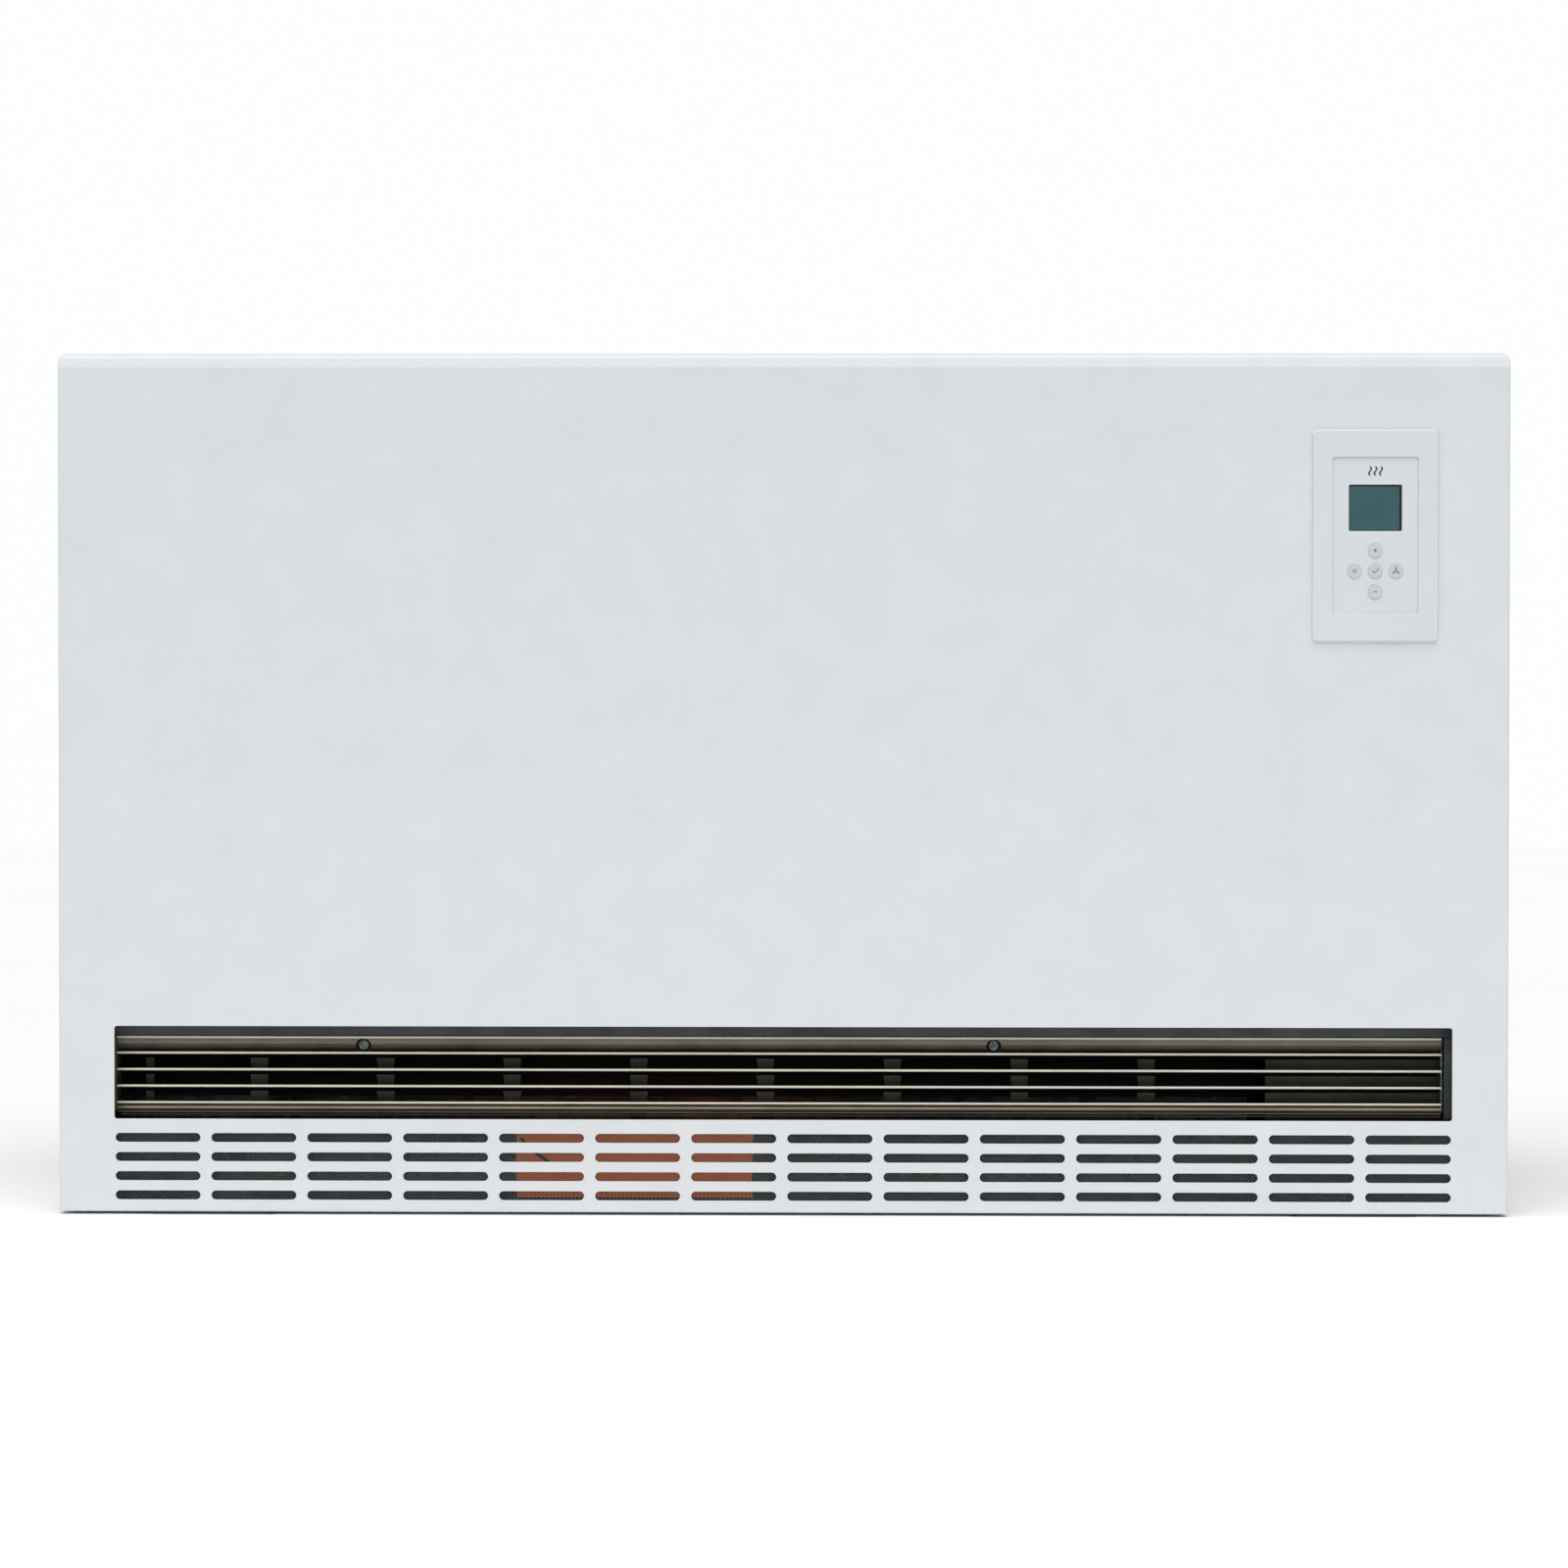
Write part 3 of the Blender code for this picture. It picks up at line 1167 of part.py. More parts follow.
def build():
    front_panel()
    top_cover()
    side_panel("side_panel_left", -1)
    side_panel("side_panel_right", 1)
    back_panel()
    base_tray()
    foot("foot_left", -FOOT_X)
    foot("foot_right", FOOT_X)
    wall_bracket()
    inlet_filter()
    outlet_floor()
    grille_frame()
    for index in range(LOUVRE_COUNT):
        louvre("louvre_{}".format(index + 1), FIRST_LIP_Z - index * LOUVRE_PITCH)
    grille_back_frame()
    for side, inset in GRILLE_SCREW_INSETS.items():
        grille_screw(side, inset)
    fan_tray()
    fan_guard()
    motor_cover()
    fan_motor()
    fan_shaft()
    fan_rotor("fan_rotor_left", ROTOR_LEFT_X, ROTOR_LEFT_X + ROTOR_LEFT_LENGTH)
    fan_rotor("fan_rotor_right", ROTOR_RIGHT_X, ROTOR_RIGHT_END)
    bearing("bearing_left", FAN_LEFT + BEARING_INSET)
    bearing("bearing_right", FAN_RIGHT - BEARING_INSET - BEARING_THICKNESS)
    core_chassis()
    air_flap()
    flap_actuator()
    for index in range(COURSES):
        brick_course(index)
    for index in range(COURSES - 1):
        heating_element(index)
    insulation()
    core_cover()
    partition_plate()
    control_bezel()
    keypad_panel()
    display_window()
    for name in KEY_PLACES:
        key(name)
    control_board()
    terminal_block()
    safety_thermostat()
    cable_gland()


build()
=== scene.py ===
"""Finished pieces and finishes of a fan convector heater with a heat-storage core.

Lengths are in metres, with +Z up and the front facing -Y, in the frame that the framework parts use.
"""

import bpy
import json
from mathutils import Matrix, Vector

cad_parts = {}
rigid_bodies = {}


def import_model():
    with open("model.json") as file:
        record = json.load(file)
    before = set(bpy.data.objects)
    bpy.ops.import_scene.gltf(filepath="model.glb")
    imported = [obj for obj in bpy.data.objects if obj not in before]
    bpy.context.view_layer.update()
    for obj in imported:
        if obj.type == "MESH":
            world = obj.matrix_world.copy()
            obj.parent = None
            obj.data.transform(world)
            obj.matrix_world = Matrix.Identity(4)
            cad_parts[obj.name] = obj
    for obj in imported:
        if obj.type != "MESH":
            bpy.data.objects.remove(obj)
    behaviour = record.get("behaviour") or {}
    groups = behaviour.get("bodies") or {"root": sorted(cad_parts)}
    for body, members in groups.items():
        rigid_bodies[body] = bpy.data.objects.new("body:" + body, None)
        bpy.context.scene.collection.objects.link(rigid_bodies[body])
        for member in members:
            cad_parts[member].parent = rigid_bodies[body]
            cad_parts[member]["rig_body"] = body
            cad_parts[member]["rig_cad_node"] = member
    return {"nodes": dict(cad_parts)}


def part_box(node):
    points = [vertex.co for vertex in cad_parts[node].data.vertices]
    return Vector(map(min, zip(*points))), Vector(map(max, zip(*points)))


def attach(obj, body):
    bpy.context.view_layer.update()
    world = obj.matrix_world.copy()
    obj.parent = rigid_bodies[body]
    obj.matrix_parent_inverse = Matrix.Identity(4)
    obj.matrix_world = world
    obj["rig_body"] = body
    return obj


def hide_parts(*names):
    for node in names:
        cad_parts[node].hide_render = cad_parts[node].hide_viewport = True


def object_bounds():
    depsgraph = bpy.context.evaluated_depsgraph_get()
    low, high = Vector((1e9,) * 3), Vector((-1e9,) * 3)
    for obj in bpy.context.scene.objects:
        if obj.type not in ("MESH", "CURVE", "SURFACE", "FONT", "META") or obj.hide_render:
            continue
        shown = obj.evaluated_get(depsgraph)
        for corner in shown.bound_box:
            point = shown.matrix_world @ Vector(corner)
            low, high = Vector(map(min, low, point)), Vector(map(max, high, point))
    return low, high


bl_info = {
    "name": "Fan Convector Heater",
    "version": (1, 0, 0),
    "blender": (4, 5, 0),
    "location": "View3D > Sidebar > Heater",
    "description": "Models the finished pieces of a fan convector heater and gives each one its finish",
    "category": "Add Mesh",
}

import contextlib
import json
import math

import bmesh
import bpy
from mathutils import Vector

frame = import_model()
FRAME_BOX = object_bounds()

CASING = "heater"
FLAP = "flap"
CASING_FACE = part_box("front_panel")[0].y
KEY_NAMES = ("plus", "minus", "ok", "menu", "fan")

# Lengths that many pieces share
SHEET = 0.001
GAP = 0.0003
FINE_GAP = 0.00006
UNDERSIDE = 0.0002
SAME = 1e-4
TINY = 1e-5
EDGE_ROUND = 0.0003
FINE_EDGE_ROUND = 0.0002
LID_EDGE_ROUND = 0.0001
HOUSING_EDGE_ROUND = 0.0004
SQUARE_ON = 0.99
SHARP = 40

# Grille
GRILLE_SHEET = 0.0012
BAND_HEIGHT = 0.012
BAND_ROUND = 0.0013
BAND_CROWN = 0.0046
BEAD_RADIUS = 0.0008
END_PLATE_INSET = 0.006
END_PLATE_ROUND = 0.0025
# Each fold of the sill: how far behind the face and how high above the foot
SILL_FOLDS = ((0.0036, 0.0006), (0.0016, 0.0024), (0.0010, 0.0036), (0.0026, 0.0062))
SCREW_WELL_SINK = 0.0013
SCREW_WELL_DEPTH = 0.0072
SCREW_WELL_WALL = 0.0004
SCREW_SINK = 0.0034
HOOD_LAP = 0.006
HOOD_SHEET = 0.0006

# Fan
LEAD_RADIUS = 0.0013
LEAD_CLEARANCE = 0.0042

# Controls
BEZEL_OVERLAP = 0.004
FACE_EDGE_ROUND = 0.00012
GLASS_EDGE_ROUND = 0.00008
INK_DEPTH = 0.00005
KEY_DISH = 0.00016
KEY_RIM = 0.0011
SIGN_LENGTH = 0.0030
SIGN_THICKNESS = 0.0007
KEY_FLANGE = 1.18
WAVE_RISE = 0.0036
WAVE_SWING = 0.0009

# Finishes
DUST_ON_PAINT = (150, 146, 138)
DUST_ON_ZINC = (140, 138, 132)
ZINC_SCALE = 110.0
ZINC_BUMP = 0.08
ZINC_DEPTH = 0.0001
FIRED_BUMP = 0.6
COAT_ROUGHNESS = 0.08
# Painted light: strength of the glow given to the motor cover so that it reads through the filter.
MOTOR_PAINTED_GLOW = 0.4

# Stage
CAMERA_DISTANCE = 3.389
CAMERA_YAW = 0.85
CAMERA_PITCH = 1.03
CAMERA_ROLL = 0.04
CAMERA_LENS = 100.0
CAMERA_SHIFT_X = 0.0013
CAMERA_SHIFT_Y = 0.0006
SENSOR = 36.0
FLOOR_RADIUS = 9
SURROUND_TINT = (0.985, 0.992, 1.0, 1.0)
SURROUND_STRENGTH = 0.3
OVERHEAD_STRENGTH = 2.6
OVERHEAD_SPREAD = 60.0
OVERHEAD_HEIGHT = 66.0
OVERHEAD_TURN = -8.0


def tint(red, green, blue):
    """A colour given in 0 to 255 display values, as linear values."""
    values = [channel / 255 for channel in (red, green, blue)]
    return tuple(v / 12.92 if v <= 0.04045 else ((v + 0.055) / 1.055) ** 2.4 for v in values)


# ---------------------------------------------------------------- sizes and colours


def length(name, description, default):
    """A length that the user can set."""
    return bpy.props.FloatProperty(
        name=name, description=description, default=default, min=0.0, precision=5, unit="LENGTH"
    )


def colour(name, description, default):
    """A colour that the user can set."""
    return bpy.props.FloatVectorProperty(
        name=name, description=description, default=default, min=0.0, max=1.0, subtype="COLOR"
    )


def number(name, description, default):
    """A count that the user can set."""
    return bpy.props.IntProperty(name=name, description=description, default=default, min=1)


class HeaterSizes(bpy.types.PropertyGroup):
    """Sizes of the finished pieces that the framework parts leave open."""

    fold_radius: length("Fold radius", "Outer radius of the folds in the casing", 0.002)
    edge_break: length("Edge break", "Round on the edges of cut sheet metal", 0.00035)
    lid_front_round: length("Lid front round", "Radius along the front of the lid", 0.005)
    lid_front_slope: length("Lid front slope", "How far the front of the lid leans back", 0.0030)
    lid_side_round: length("Lid side round", "Radius along the ends of the lid", 0.0065)
    lid_back_round: length("Lid back round", "Radius along the back of the lid", 0.002)
    outlet_width: length("Outlet width", "Width of the warm-air outlet", 1.043)
    outlet_bottom: length("Outlet bottom", "Height of the outlet's lower edge", 0.0747)
    outlet_height: length("Outlet height", "Height of the warm-air outlet", 0.0725)
    outlet_corner: length("Outlet corner", "Radius of the outlet's corners", 0.002)
    slot_length: length("Slot length", "Length of one inlet slot", 0.0663)
    slot_height: length("Slot height", "Height of one inlet slot", 0.007)
    slot_pitch: length("Slot pitch", "Distance from one slot to the next in a row", 0.075)
    slot_row_pitch: length("Slot row pitch", "Distance from one row of slots to the next", 0.015)
    slot_first_row: length("First slot row", "Height of the lowest row of slots", 0.015)
    slot_columns: number("Slot columns", "Number of slots in a row", 14)
    slot_rows: number("Slot rows", "Number of rows of slots", 4)
    wire_pitch: length("Wire pitch", "Distance between the filter's wires, along the filter", 0.003)
    wire_radius: length("Wire radius", "Radius of the filter's wires", 0.0003)
    filter_rail: length("Filter rail", "Width of the rail round the inlet filter", 0.0032)
    louvre_lip: length("Louvre lip", "Height of the rounded front lip of a louvre", 0.0018)
    comb_pitch: length("Comb pitch", "Distance between the uprights behind the louvres", 0.100)
    comb_first: length("First upright", "First full upright's distance from the grille's left end", 0.110)
    upright_top: length("Upright top", "Width of an upright where it flares", 0.0142)
    upright_bottom: length("Upright bottom", "Width of an upright at its waist", 0.011)
    bezel_corner: length("Bezel corner", "Corner radius of the control surround", 0.0034)
    bezel_round: length("Bezel round", "Radius along the front edges of the control surround", 0.0012)
    bezel_inner_round: length("Recess round", "Radius along the edges of the surround's recess", 0.0007)
    face_width: length("Control face width", "Width of the control face", 0.0662)
    face_height: length("Control face height", "Height of the control face", 0.1215)
    face_corner: length("Control face corner", "Corner radius of the control face", 0.002)
    display_width: length("Display width", "Visible width of the display", 0.0412)
    display_height: length("Display height", "Visible height of the display", 0.036)
    display_corner: length("Display corner", "Corner radius of the display", 0.0012)
    key_radius: length("Key radius", "Radius of a key's face", 0.0055)


class HeaterColours(bpy.types.PropertyGroup):
    """Colours of the main finishes."""

    casing: colour("Casing", "Powder coat of the casing", tint(224, 227, 229))
    control: colour("Control face", "Plastic of the control surround and face", tint(219, 224, 227))
    key: colour("Keys", "Plastic of the keys", tint(204, 209, 213))
    ink: colour("Printed symbols", "Ink of the symbols on the keys", tint(112, 122, 128))
    display: colour("Display", "Glass of the display", tint(60, 96, 99))
    bronze: colour("Grille", "Paint of the grille and its louvres", tint(112, 101, 84))
    # Painted highlight: the lip colour is a pale cream that stands for light caught on the louvres' rounded
    # lips.
    lip: colour("Louvre lips", "Painted highlight on the louvre lips", tint(228, 224, 208))
    filter: colour("Filter wire", "Wire of the inlet filter", tint(104, 114, 116))
    motor: colour("Motor cover", "Glazed cover over the fan motor", tint(214, 108, 52))


# ---------------------------------------------------------------- modelling by hand


def take(*pieces):
    """Selects only these pieces, with the first one active."""
    bpy.ops.object.select_all(action="DESELECT")
    for piece in pieces:
        piece.select_set(True)
    bpy.context.view_layer.objects.active = pieces[0]


def start(name):
    """Names the primitive that was just added and puts its place into its mesh."""
    piece = bpy.context.object
    piece.name = name
    piece.data.name = name
    take(piece)
    bpy.ops.object.transform_apply(location=True, rotation=True, scale=True)
    return piece


def block(name, low, high):
    """A box between two corners."""
    low = Vector(low)
    high = Vector(high)
    bpy.ops.object.select_all(action="DESELECT")
    bpy.ops.mesh.primitive_cube_add(size=1, location=(low + high) / 2, scale=high - low)
    return start(name)


def rod(name, first, last, radius, sides=24):
    """A round bar between two points."""
    first = Vector(first)
    along = Vector(last) - first
    bpy.ops.object.select_all(action="DESELECT")
    bpy.ops.mesh.primitive_cylinder_add(
        vertices=sides, radius=radius, depth=along.length, location=first + along / 2,
        rotation=along.to_track_quat("Z", "Y").to_euler(),
    )
    return start(name)


@contextlib.contextmanager
def editing(piece, kind="FACE", test=None):
    """Opens a piece in edit mode with the vertices, edges or faces selected that pass the test."""
    take(piece)
    bpy.ops.object.mode_set(mode="EDIT")
    bpy.ops.mesh.select_mode(type=kind)
    bpy.ops.mesh.select_all(action="SELECT" if test is None else "DESELECT")
    if test is not None:
        mesh = bmesh.from_edit_mesh(piece.data)
        mesh.normal_update()
        for part in {"VERT": mesh.verts, "EDGE": mesh.edges, "FACE": mesh.faces}[kind]:
            if test(part):
                part.select_set(True)
        mesh.select_flush_mode()
        bmesh.update_edit_mesh(piece.data)
    yield
    bpy.ops.object.mode_set(mode="OBJECT")


def middle(edge):
    """The middle of an edge."""
    return (edge.verts[0].co + edge.verts[1].co) / 2


def runs(edge, axis):
    """Whether an edge runs along an axis."""
    along = (edge.verts[1].co - edge.verts[0].co).normalized()
    return abs(along["xyz".index(axis)]) > 0.999


def near(value, target, within=SAME):
    """Whether two lengths are the same."""
    return abs(value - target) < within


def edge_at(axis, within=SAME, **place):
    """A test for edges that run along an axis and have their middle at these coordinates."""
    def test(edge):
        centre = middle(edge)
        return runs(edge, axis) and all(
            near(getattr(centre, key), value, within) for key, value in place.items()
        )
    return test


def rim_at(y):
    """A test for edges that lie wholly at one depth."""
    return lambda edge: all(near(vertex.co.y, y, TINY) for vertex in edge.verts)


def is_sharp(edge):
    """Whether two faces meet at an edge at a sharp angle."""
    return len(edge.link_faces) == 2 and edge.calc_face_angle(0.0) > math.radians(SHARP)


def facing(y=0.0, z=0.0):
    """A test for faces that point this way."""
    way = Vector((0.0, y, z))
    return lambda face: face.normal.dot(way) > SQUARE_ON


def round_edges(piece, test, radius, segments=6):
    """Rounds the edges that pass the test."""
    with editing(piece, "EDGE", test):
        bpy.ops.mesh.bevel(offset=radius, offset_type="OFFSET", segments=segments, affect="EDGES")


def modify(piece, kind, **settings):
    """Adds a modifier with these settings and applies it."""
    modifier = piece.modifiers.new(kind.lower(), kind)
    for key, value in settings.items():
        setattr(modifier, key, value)
    take(piece)
    bpy.ops.object.modifier_apply(modifier=modifier.name)


def soften(piece, width, segments=2, angle=SHARP):
    """Rounds every edge that is sharper than an angle."""
    modify(
        piece, "BEVEL", width=width, segments=segments, limit_method="ANGLE",
        angle_limit=math.radians(angle), use_clamp_overlap=False,
    )


def wall(piece, thickness):
    """Gives an open surface its thickness, inwards."""
    modify(piece, "SOLIDIFY", thickness=thickness, offset=-1.0, use_even_offset=True)


def combine(piece, other, operation="DIFFERENCE"):
    """Cuts, joins or crosses a piece with another one, which is used up."""
    modify(piece, "BOOLEAN", object=other, operation=operation, solver="EXACT")
    bpy.data.objects.remove(other)


def repeat(piece, step, count):
    """Repeats a piece in a straight row."""
    modify(
        piece, "ARRAY", use_relative_offset=False, use_constant_offset=True,
        constant_offset_displace=step, count=count,
    )


def joined(name, pieces):
    """Several pieces as one."""
    take(*pieces)
    bpy.ops.object.join()
    pieces[0].name = name
    return pieces[0]


def copy_of(piece, name, offset=(0, 0, 0)):
    """A copy with its own mesh, moved by an offset."""
    take(piece)
    bpy.ops.object.duplicate(linked=False)
    bpy.ops.transform.translate(value=offset)
    copied = start(name)
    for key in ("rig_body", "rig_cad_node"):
        if key in copied:
            del copied[key]
    return copied


def drop_faces(piece, test):
    """Deletes the faces that pass the test."""
    with editing(piece, "FACE", test):
        bpy.ops.mesh.delete(type="FACE")


def weld(piece, distance=TINY):
    """Merges doubled points and points every face outwards."""
    with editing(piece):
        bpy.ops.mesh.remove_doubles(threshold=distance)
        bpy.ops.mesh.normals_make_consistent(inside=False)


def rounded_block(name, low, high, axis, radius, segments=6):
    """A box whose four edges along one axis are rounded."""
    piece = block(name, low, high)
    round_edges(piece, edge_at(axis), radius, segments)
    return piece


def tile(name, centre, half, depth, radius=0.0, segments=6):
    """An upright plate round a centre, between two depths, with its corners rounded."""
    low = (centre.x - half.x, depth[0], centre.z - half.z)
    high = (centre.x + half.x, depth[1], centre.z + half.z)
    if radius:
        return rounded_block(name, low, high, "y", radius, segments)
    return block(name, low, high)


def folded_strip(name, ends, profile, thickness, fold=0.0, segments=5):
    """A sheet folded along X: a strip whose far edge is drawn out from point to point of a profile."""
    left, right = ends
    start_y, start_z = profile[0]
    bpy.ops.object.select_all(action="DESELECT")
    bpy.ops.mesh.primitive_plane_add(size=1, location=(0, 0, 0))
    piece = start(name)
    first = Vector((0, profile[1][0] - start_y, profile[1][1] - start_z))
    with editing(piece, "VERT"):
        mesh = bmesh.from_edit_mesh(piece.data)
        for vertex in mesh.verts:
            leg = first if vertex.co.y > 0 else Vector()
            vertex.co = Vector((left if vertex.co.x < 0 else right, start_y, start_z)) + leg
        bmesh.update_edit_mesh(piece.data)
    for here, there in zip(profile[1:], profile[2:]):
        with editing(piece, "EDGE", edge_at("x", TINY, y=here[0], z=here[1])):
            bpy.ops.mesh.extrude_region_move(
                TRANSFORM_OT_translate={"value": (0, there[0] - here[0], there[1] - here[1])}
            )
    if fold:
        inner = lambda edge: runs(edge, "x") and len(edge.link_faces) == 2
        round_edges(piece, inner, fold, segments)
    modify(piece, "SOLIDIFY", thickness=thickness, offset=0.0, use_even_offset=True)
    weld(piece)
    return piece


def paint_faces(piece, material, test):
    """Gives the faces that pass the test a second finish."""
    piece.data.materials.append(material)
    with editing(piece, "FACE", test):
        piece.active_material_index = len(piece.data.materials) - 1
        bpy.ops.object.material_slot_assign()


def deliver(piece, material, body=CASING, stands_for=(), angle=35):
    """Gives a finished piece its finish, its smooth shading and the body that it rides on."""
    piece.data.name = piece.name
    piece.data.materials.clear()
    piece.data.materials.append(material)
    take(piece)
    bpy.ops.object.shade_smooth_by_angle(angle=math.radians(angle))
    modify(piece, "WEIGHTED_NORMAL", keep_sharp=True, weight=80)
    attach(piece, body)
    if stands_for:
        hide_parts(*stands_for)
    return piece


def refined(node, name, width=EDGE_ROUND, bend=SHARP):
    """A copy of a framework part with its triangles merged and its sharp edges rounded."""
    piece = copy_of(frame["nodes"][node], name)
    bpy.ops.mesh.customdata_custom_splitnormals_clear()
    with editing(piece):
        bpy.ops.mesh.remove_doubles(threshold=TINY)
        bpy.ops.mesh.dissolve_limited(angle_limit=math.radians(1))
    if width:
        soften(piece, width, angle=bend)
    return piece


def centre_of(node):
    """The middle of a framework part."""
    low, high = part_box(node)
    return (low + high) / 2


def carried(node, name, key, width=EDGE_ROUND, bend=SHARP, body=CASING, angle=35):
    """A framework part with its edges rounded, finished, and standing for that part."""
    piece = refined(node, name, width, bend)
    return deliver(piece, finish(key), body, [node], angle)


# ---------------------------------------------------------------- shader groups


def new_group(name, inputs, outputs):
    """A shader group with these named sockets, what it is given and what it puts out."""
    tree = bpy.data.node_groups.new(name, "ShaderNodeTree")
    for socket, kind, default in inputs:
        made = tree.interface.new_socket(socket, in_out="INPUT", socket_type="NodeSocket" + kind)
        if default is not None:
            made.default_value = default
    for socket, kind in outputs:
        tree.interface.new_socket(socket, in_out="OUTPUT", socket_type="NodeSocket" + kind)
    return tree, tree.nodes.new("NodeGroupInput").outputs, tree.nodes.new("NodeGroupOutput").inputs


def feed(tree, socket, value):
    """Links a socket to another one, or sets it to a value."""
    if isinstance(value, bpy.types.NodeSocket):
        tree.links.new(value, socket)
    else:
        socket.default_value = value


def add_node(tree, kind, inputs, **settings):
    """A node with its settings, whose inputs are set to values or linked to sockets."""
    made = tree.nodes.new("ShaderNode" + kind)
    for key, value in settings.items():
        setattr(made, key, value)
    for key, value in inputs.items():
        feed(tree, made.inputs[key], value)
    return made


def mixed(tree, amount, first, second):
    """The colour part of the way from the first to the second."""
    colour_sockets = {0: amount, 6: first, 7: second}
    return add_node(tree, "Mix", colour_sockets, data_type="RGBA").outputs[2]


def math_node(tree, operation, first, second):
    """A sum, product or other result of two values."""
    return add_node(tree, "Math", {0: first, 1: second}, operation=operation).outputs[0]


def noise(tree, vector, scale, detail, roughness=0.5):
    """A cloudy pattern."""
    settings = {"Vector": vector, "Scale": scale, "Detail": detail, "Roughness": roughness}
    return add_node(tree, "TexNoise", settings).outputs["Fac"]


def mapped(tree, value, low, high, to_low=0.0, to_high=1.0):
    """A value between two limits, spread over another range."""
    limits = {"From Min": low, "From Max": high, "To Min": to_low, "To Max": to_high}
    return add_node(tree, "MapRange", {"Value": value, **limits}).outputs[0]


def surface_film_group(name):
    """Cloudy change of colour and gloss over a fine grain, for paint, plastic and metal."""
    tree, source, result = new_group(
        name,
        [
            ("Vector", "Vector", None), ("Base", "Color", None), ("Shade", "Color", None),
            ("Cloud Scale", "Float", 8.0), ("Grain Scale", "Float", 900.0),
            ("Roughness", "Float", 0.4), ("Roughness Spread", "Float", 0.05),
        ],
        [("Color", "Color"), ("Roughness", "Float"), ("Height", "Float")],
    )
    cloud = noise(tree, source["Vector"], source["Cloud Scale"], detail=5.0)
    grain = noise(tree, source["Vector"], source["Grain Scale"], detail=2.0)
    spread = mapped(tree, cloud, low=0.3, high=0.7)
    speck = mapped(tree, grain, low=0.3, high=0.7, to_low=-0.25, to_high=0.25)
    amount = math_node(tree, "ADD", spread, speck)
    feed(tree, result["Color"], mixed(tree, amount, source["Base"], source["Shade"]))
    middle_tone = 0.5
    offset = math_node(tree, "SUBTRACT", cloud, middle_tone)
    swing = math_node(tree, "MULTIPLY", offset, source["Roughness Spread"])
    feed(tree, result["Roughness"], math_node(tree, "ADD", source["Roughness"], swing))
    feed(tree, result["Height"], grain)
    return tree


def settled_dust_group(name):
    """A thin, patchy film of dust that dulls a colour."""
    tree, source, result = new_group(
        name,
        [
            ("Vector", "Vector", None), ("Color", "Color", None), ("Roughness", "Float", 0.4),
            ("Dust", "Color", None), ("Amount", "Float", 0.2), ("Scale", "Float", 30.0),
        ],
        [("Color", "Color"), ("Roughness", "Float")],
    )
    patches = noise(tree, source["Vector"], source["Scale"], detail=8.0, roughness=0.7)
    mask = mapped(tree, patches, low=0.35, high=0.75)
    amount = math_node(tree, "MULTIPLY", mask, source["Amount"])
    feed(tree, result["Color"], mixed(tree, amount, source["Color"], source["Dust"]))
    dulling = 0.5
    dull = math_node(tree, "MULTIPLY", amount, dulling)
    feed(tree, result["Roughness"], math_node(tree, "ADD", source["Roughness"], dull))
    return tree


def zinc_spangle_group(name):
    """The crystal pattern of hot-dipped zinc."""
    tree, source, result = new_group(
        name,
        [
            ("Vector", "Vector", None), ("Base", "Color", None), ("Shade", "Color", None),
            ("Scale", "Float", 120.0), ("Roughness", "Float", 0.4),
        ],
        [("Color", "Color"), ("Roughness", "Float"), ("Height", "Float")],
    )
    cells = add_node(tree, "TexVoronoi", {"Vector": source["Vector"], "Scale": source["Scale"]}).outputs
    tone = add_node(tree, "SeparateColor", {"Color": cells["Color"]}).outputs
    streaks = noise(tree, source["Vector"], source["Scale"], detail=6.0)
    blend = math_node(tree, "MULTIPLY", tone[0], streaks)
    contrast = 1.4
    amount = math_node(tree, "MULTIPLY", blend, contrast)
    feed(tree, result["Color"], mixed(tree, amount, source["Base"], source["Shade"]))
    gloss_change = 0.18
    swing = math_node(tree, "MULTIPLY", tone[1], gloss_change)
    feed(tree, result["Roughness"], math_node(tree, "ADD", source["Roughness"], swing))
    feed(tree, result["Height"], cells["Distance"])
    return tree


def fleck_group(name):
    """Coarse flecks in a fired or pressed body."""
    tree, source, result = new_group(
        name,
        [
            ("Vector", "Vector", None), ("Base", "Color", None), ("Fleck", "Color", None),
            ("Scale", "Float", 250.0), ("Amount", "Float", 0.5),
        ],
        [("Color", "Color"), ("Height", "Float")],
    )
    cells = add_node(tree, "TexVoronoi", {"Vector": source["Vector"], "Scale": source["Scale"]}).outputs
    spots = mapped(tree, cells["Distance"], low=0.15, high=0.45, to_low=1.0, to_high=0.0)
    patch_scale = 25.0
    patches = noise(tree, source["Vector"], patch_scale, detail=6.0)
    amount = math_node(tree, "MULTIPLY", spots, patches)
    strength = math_node(tree, "MULTIPLY", amount, source["Amount"])
    feed(tree, result["Color"], mixed(tree, strength, source["Base"], source["Fleck"]))
    feed(tree, result["Height"], patches)
    return tree


GROUPS = {
    "Surface Film": surface_film_group,
    "Settled Dust": settled_dust_group,
    "Zinc Spangle": zinc_spangle_group,
    "Fired Fleck": fleck_group,
}


# ---------------------------------------------------------------- finishes


def opaque(rgb):
    """A colour with full opacity."""
    return (rgb[0], rgb[1], rgb[2], 1.0)


def deeper(rgb, factor):
    """A darker or lighter version of a colour."""
    return tuple(channel * factor for channel in rgb)


def new_material(name, metallic=0.0, coat=0.0, specular=0.5, stretch=(1, 1, 1)):
    """A material's node tree, its shader and its object coordinates."""
    made = bpy.data.materials.new(name)
    made.use_nodes = True
    tree = made.node_tree
    shader = tree.nodes["Principled BSDF"]
    shader.inputs["Metallic"].default_value = metallic
    shader.inputs["Coat Weight"].default_value = coat
    shader.inputs["Specular IOR Level"].default_value = specular
    place = add_node(tree, "TexCoord", {})
    mapping = add_node(tree, "Mapping", {"Vector": place.outputs["Object"], "Scale": stretch})
    return made, tree, shader, mapping.outputs["Vector"]


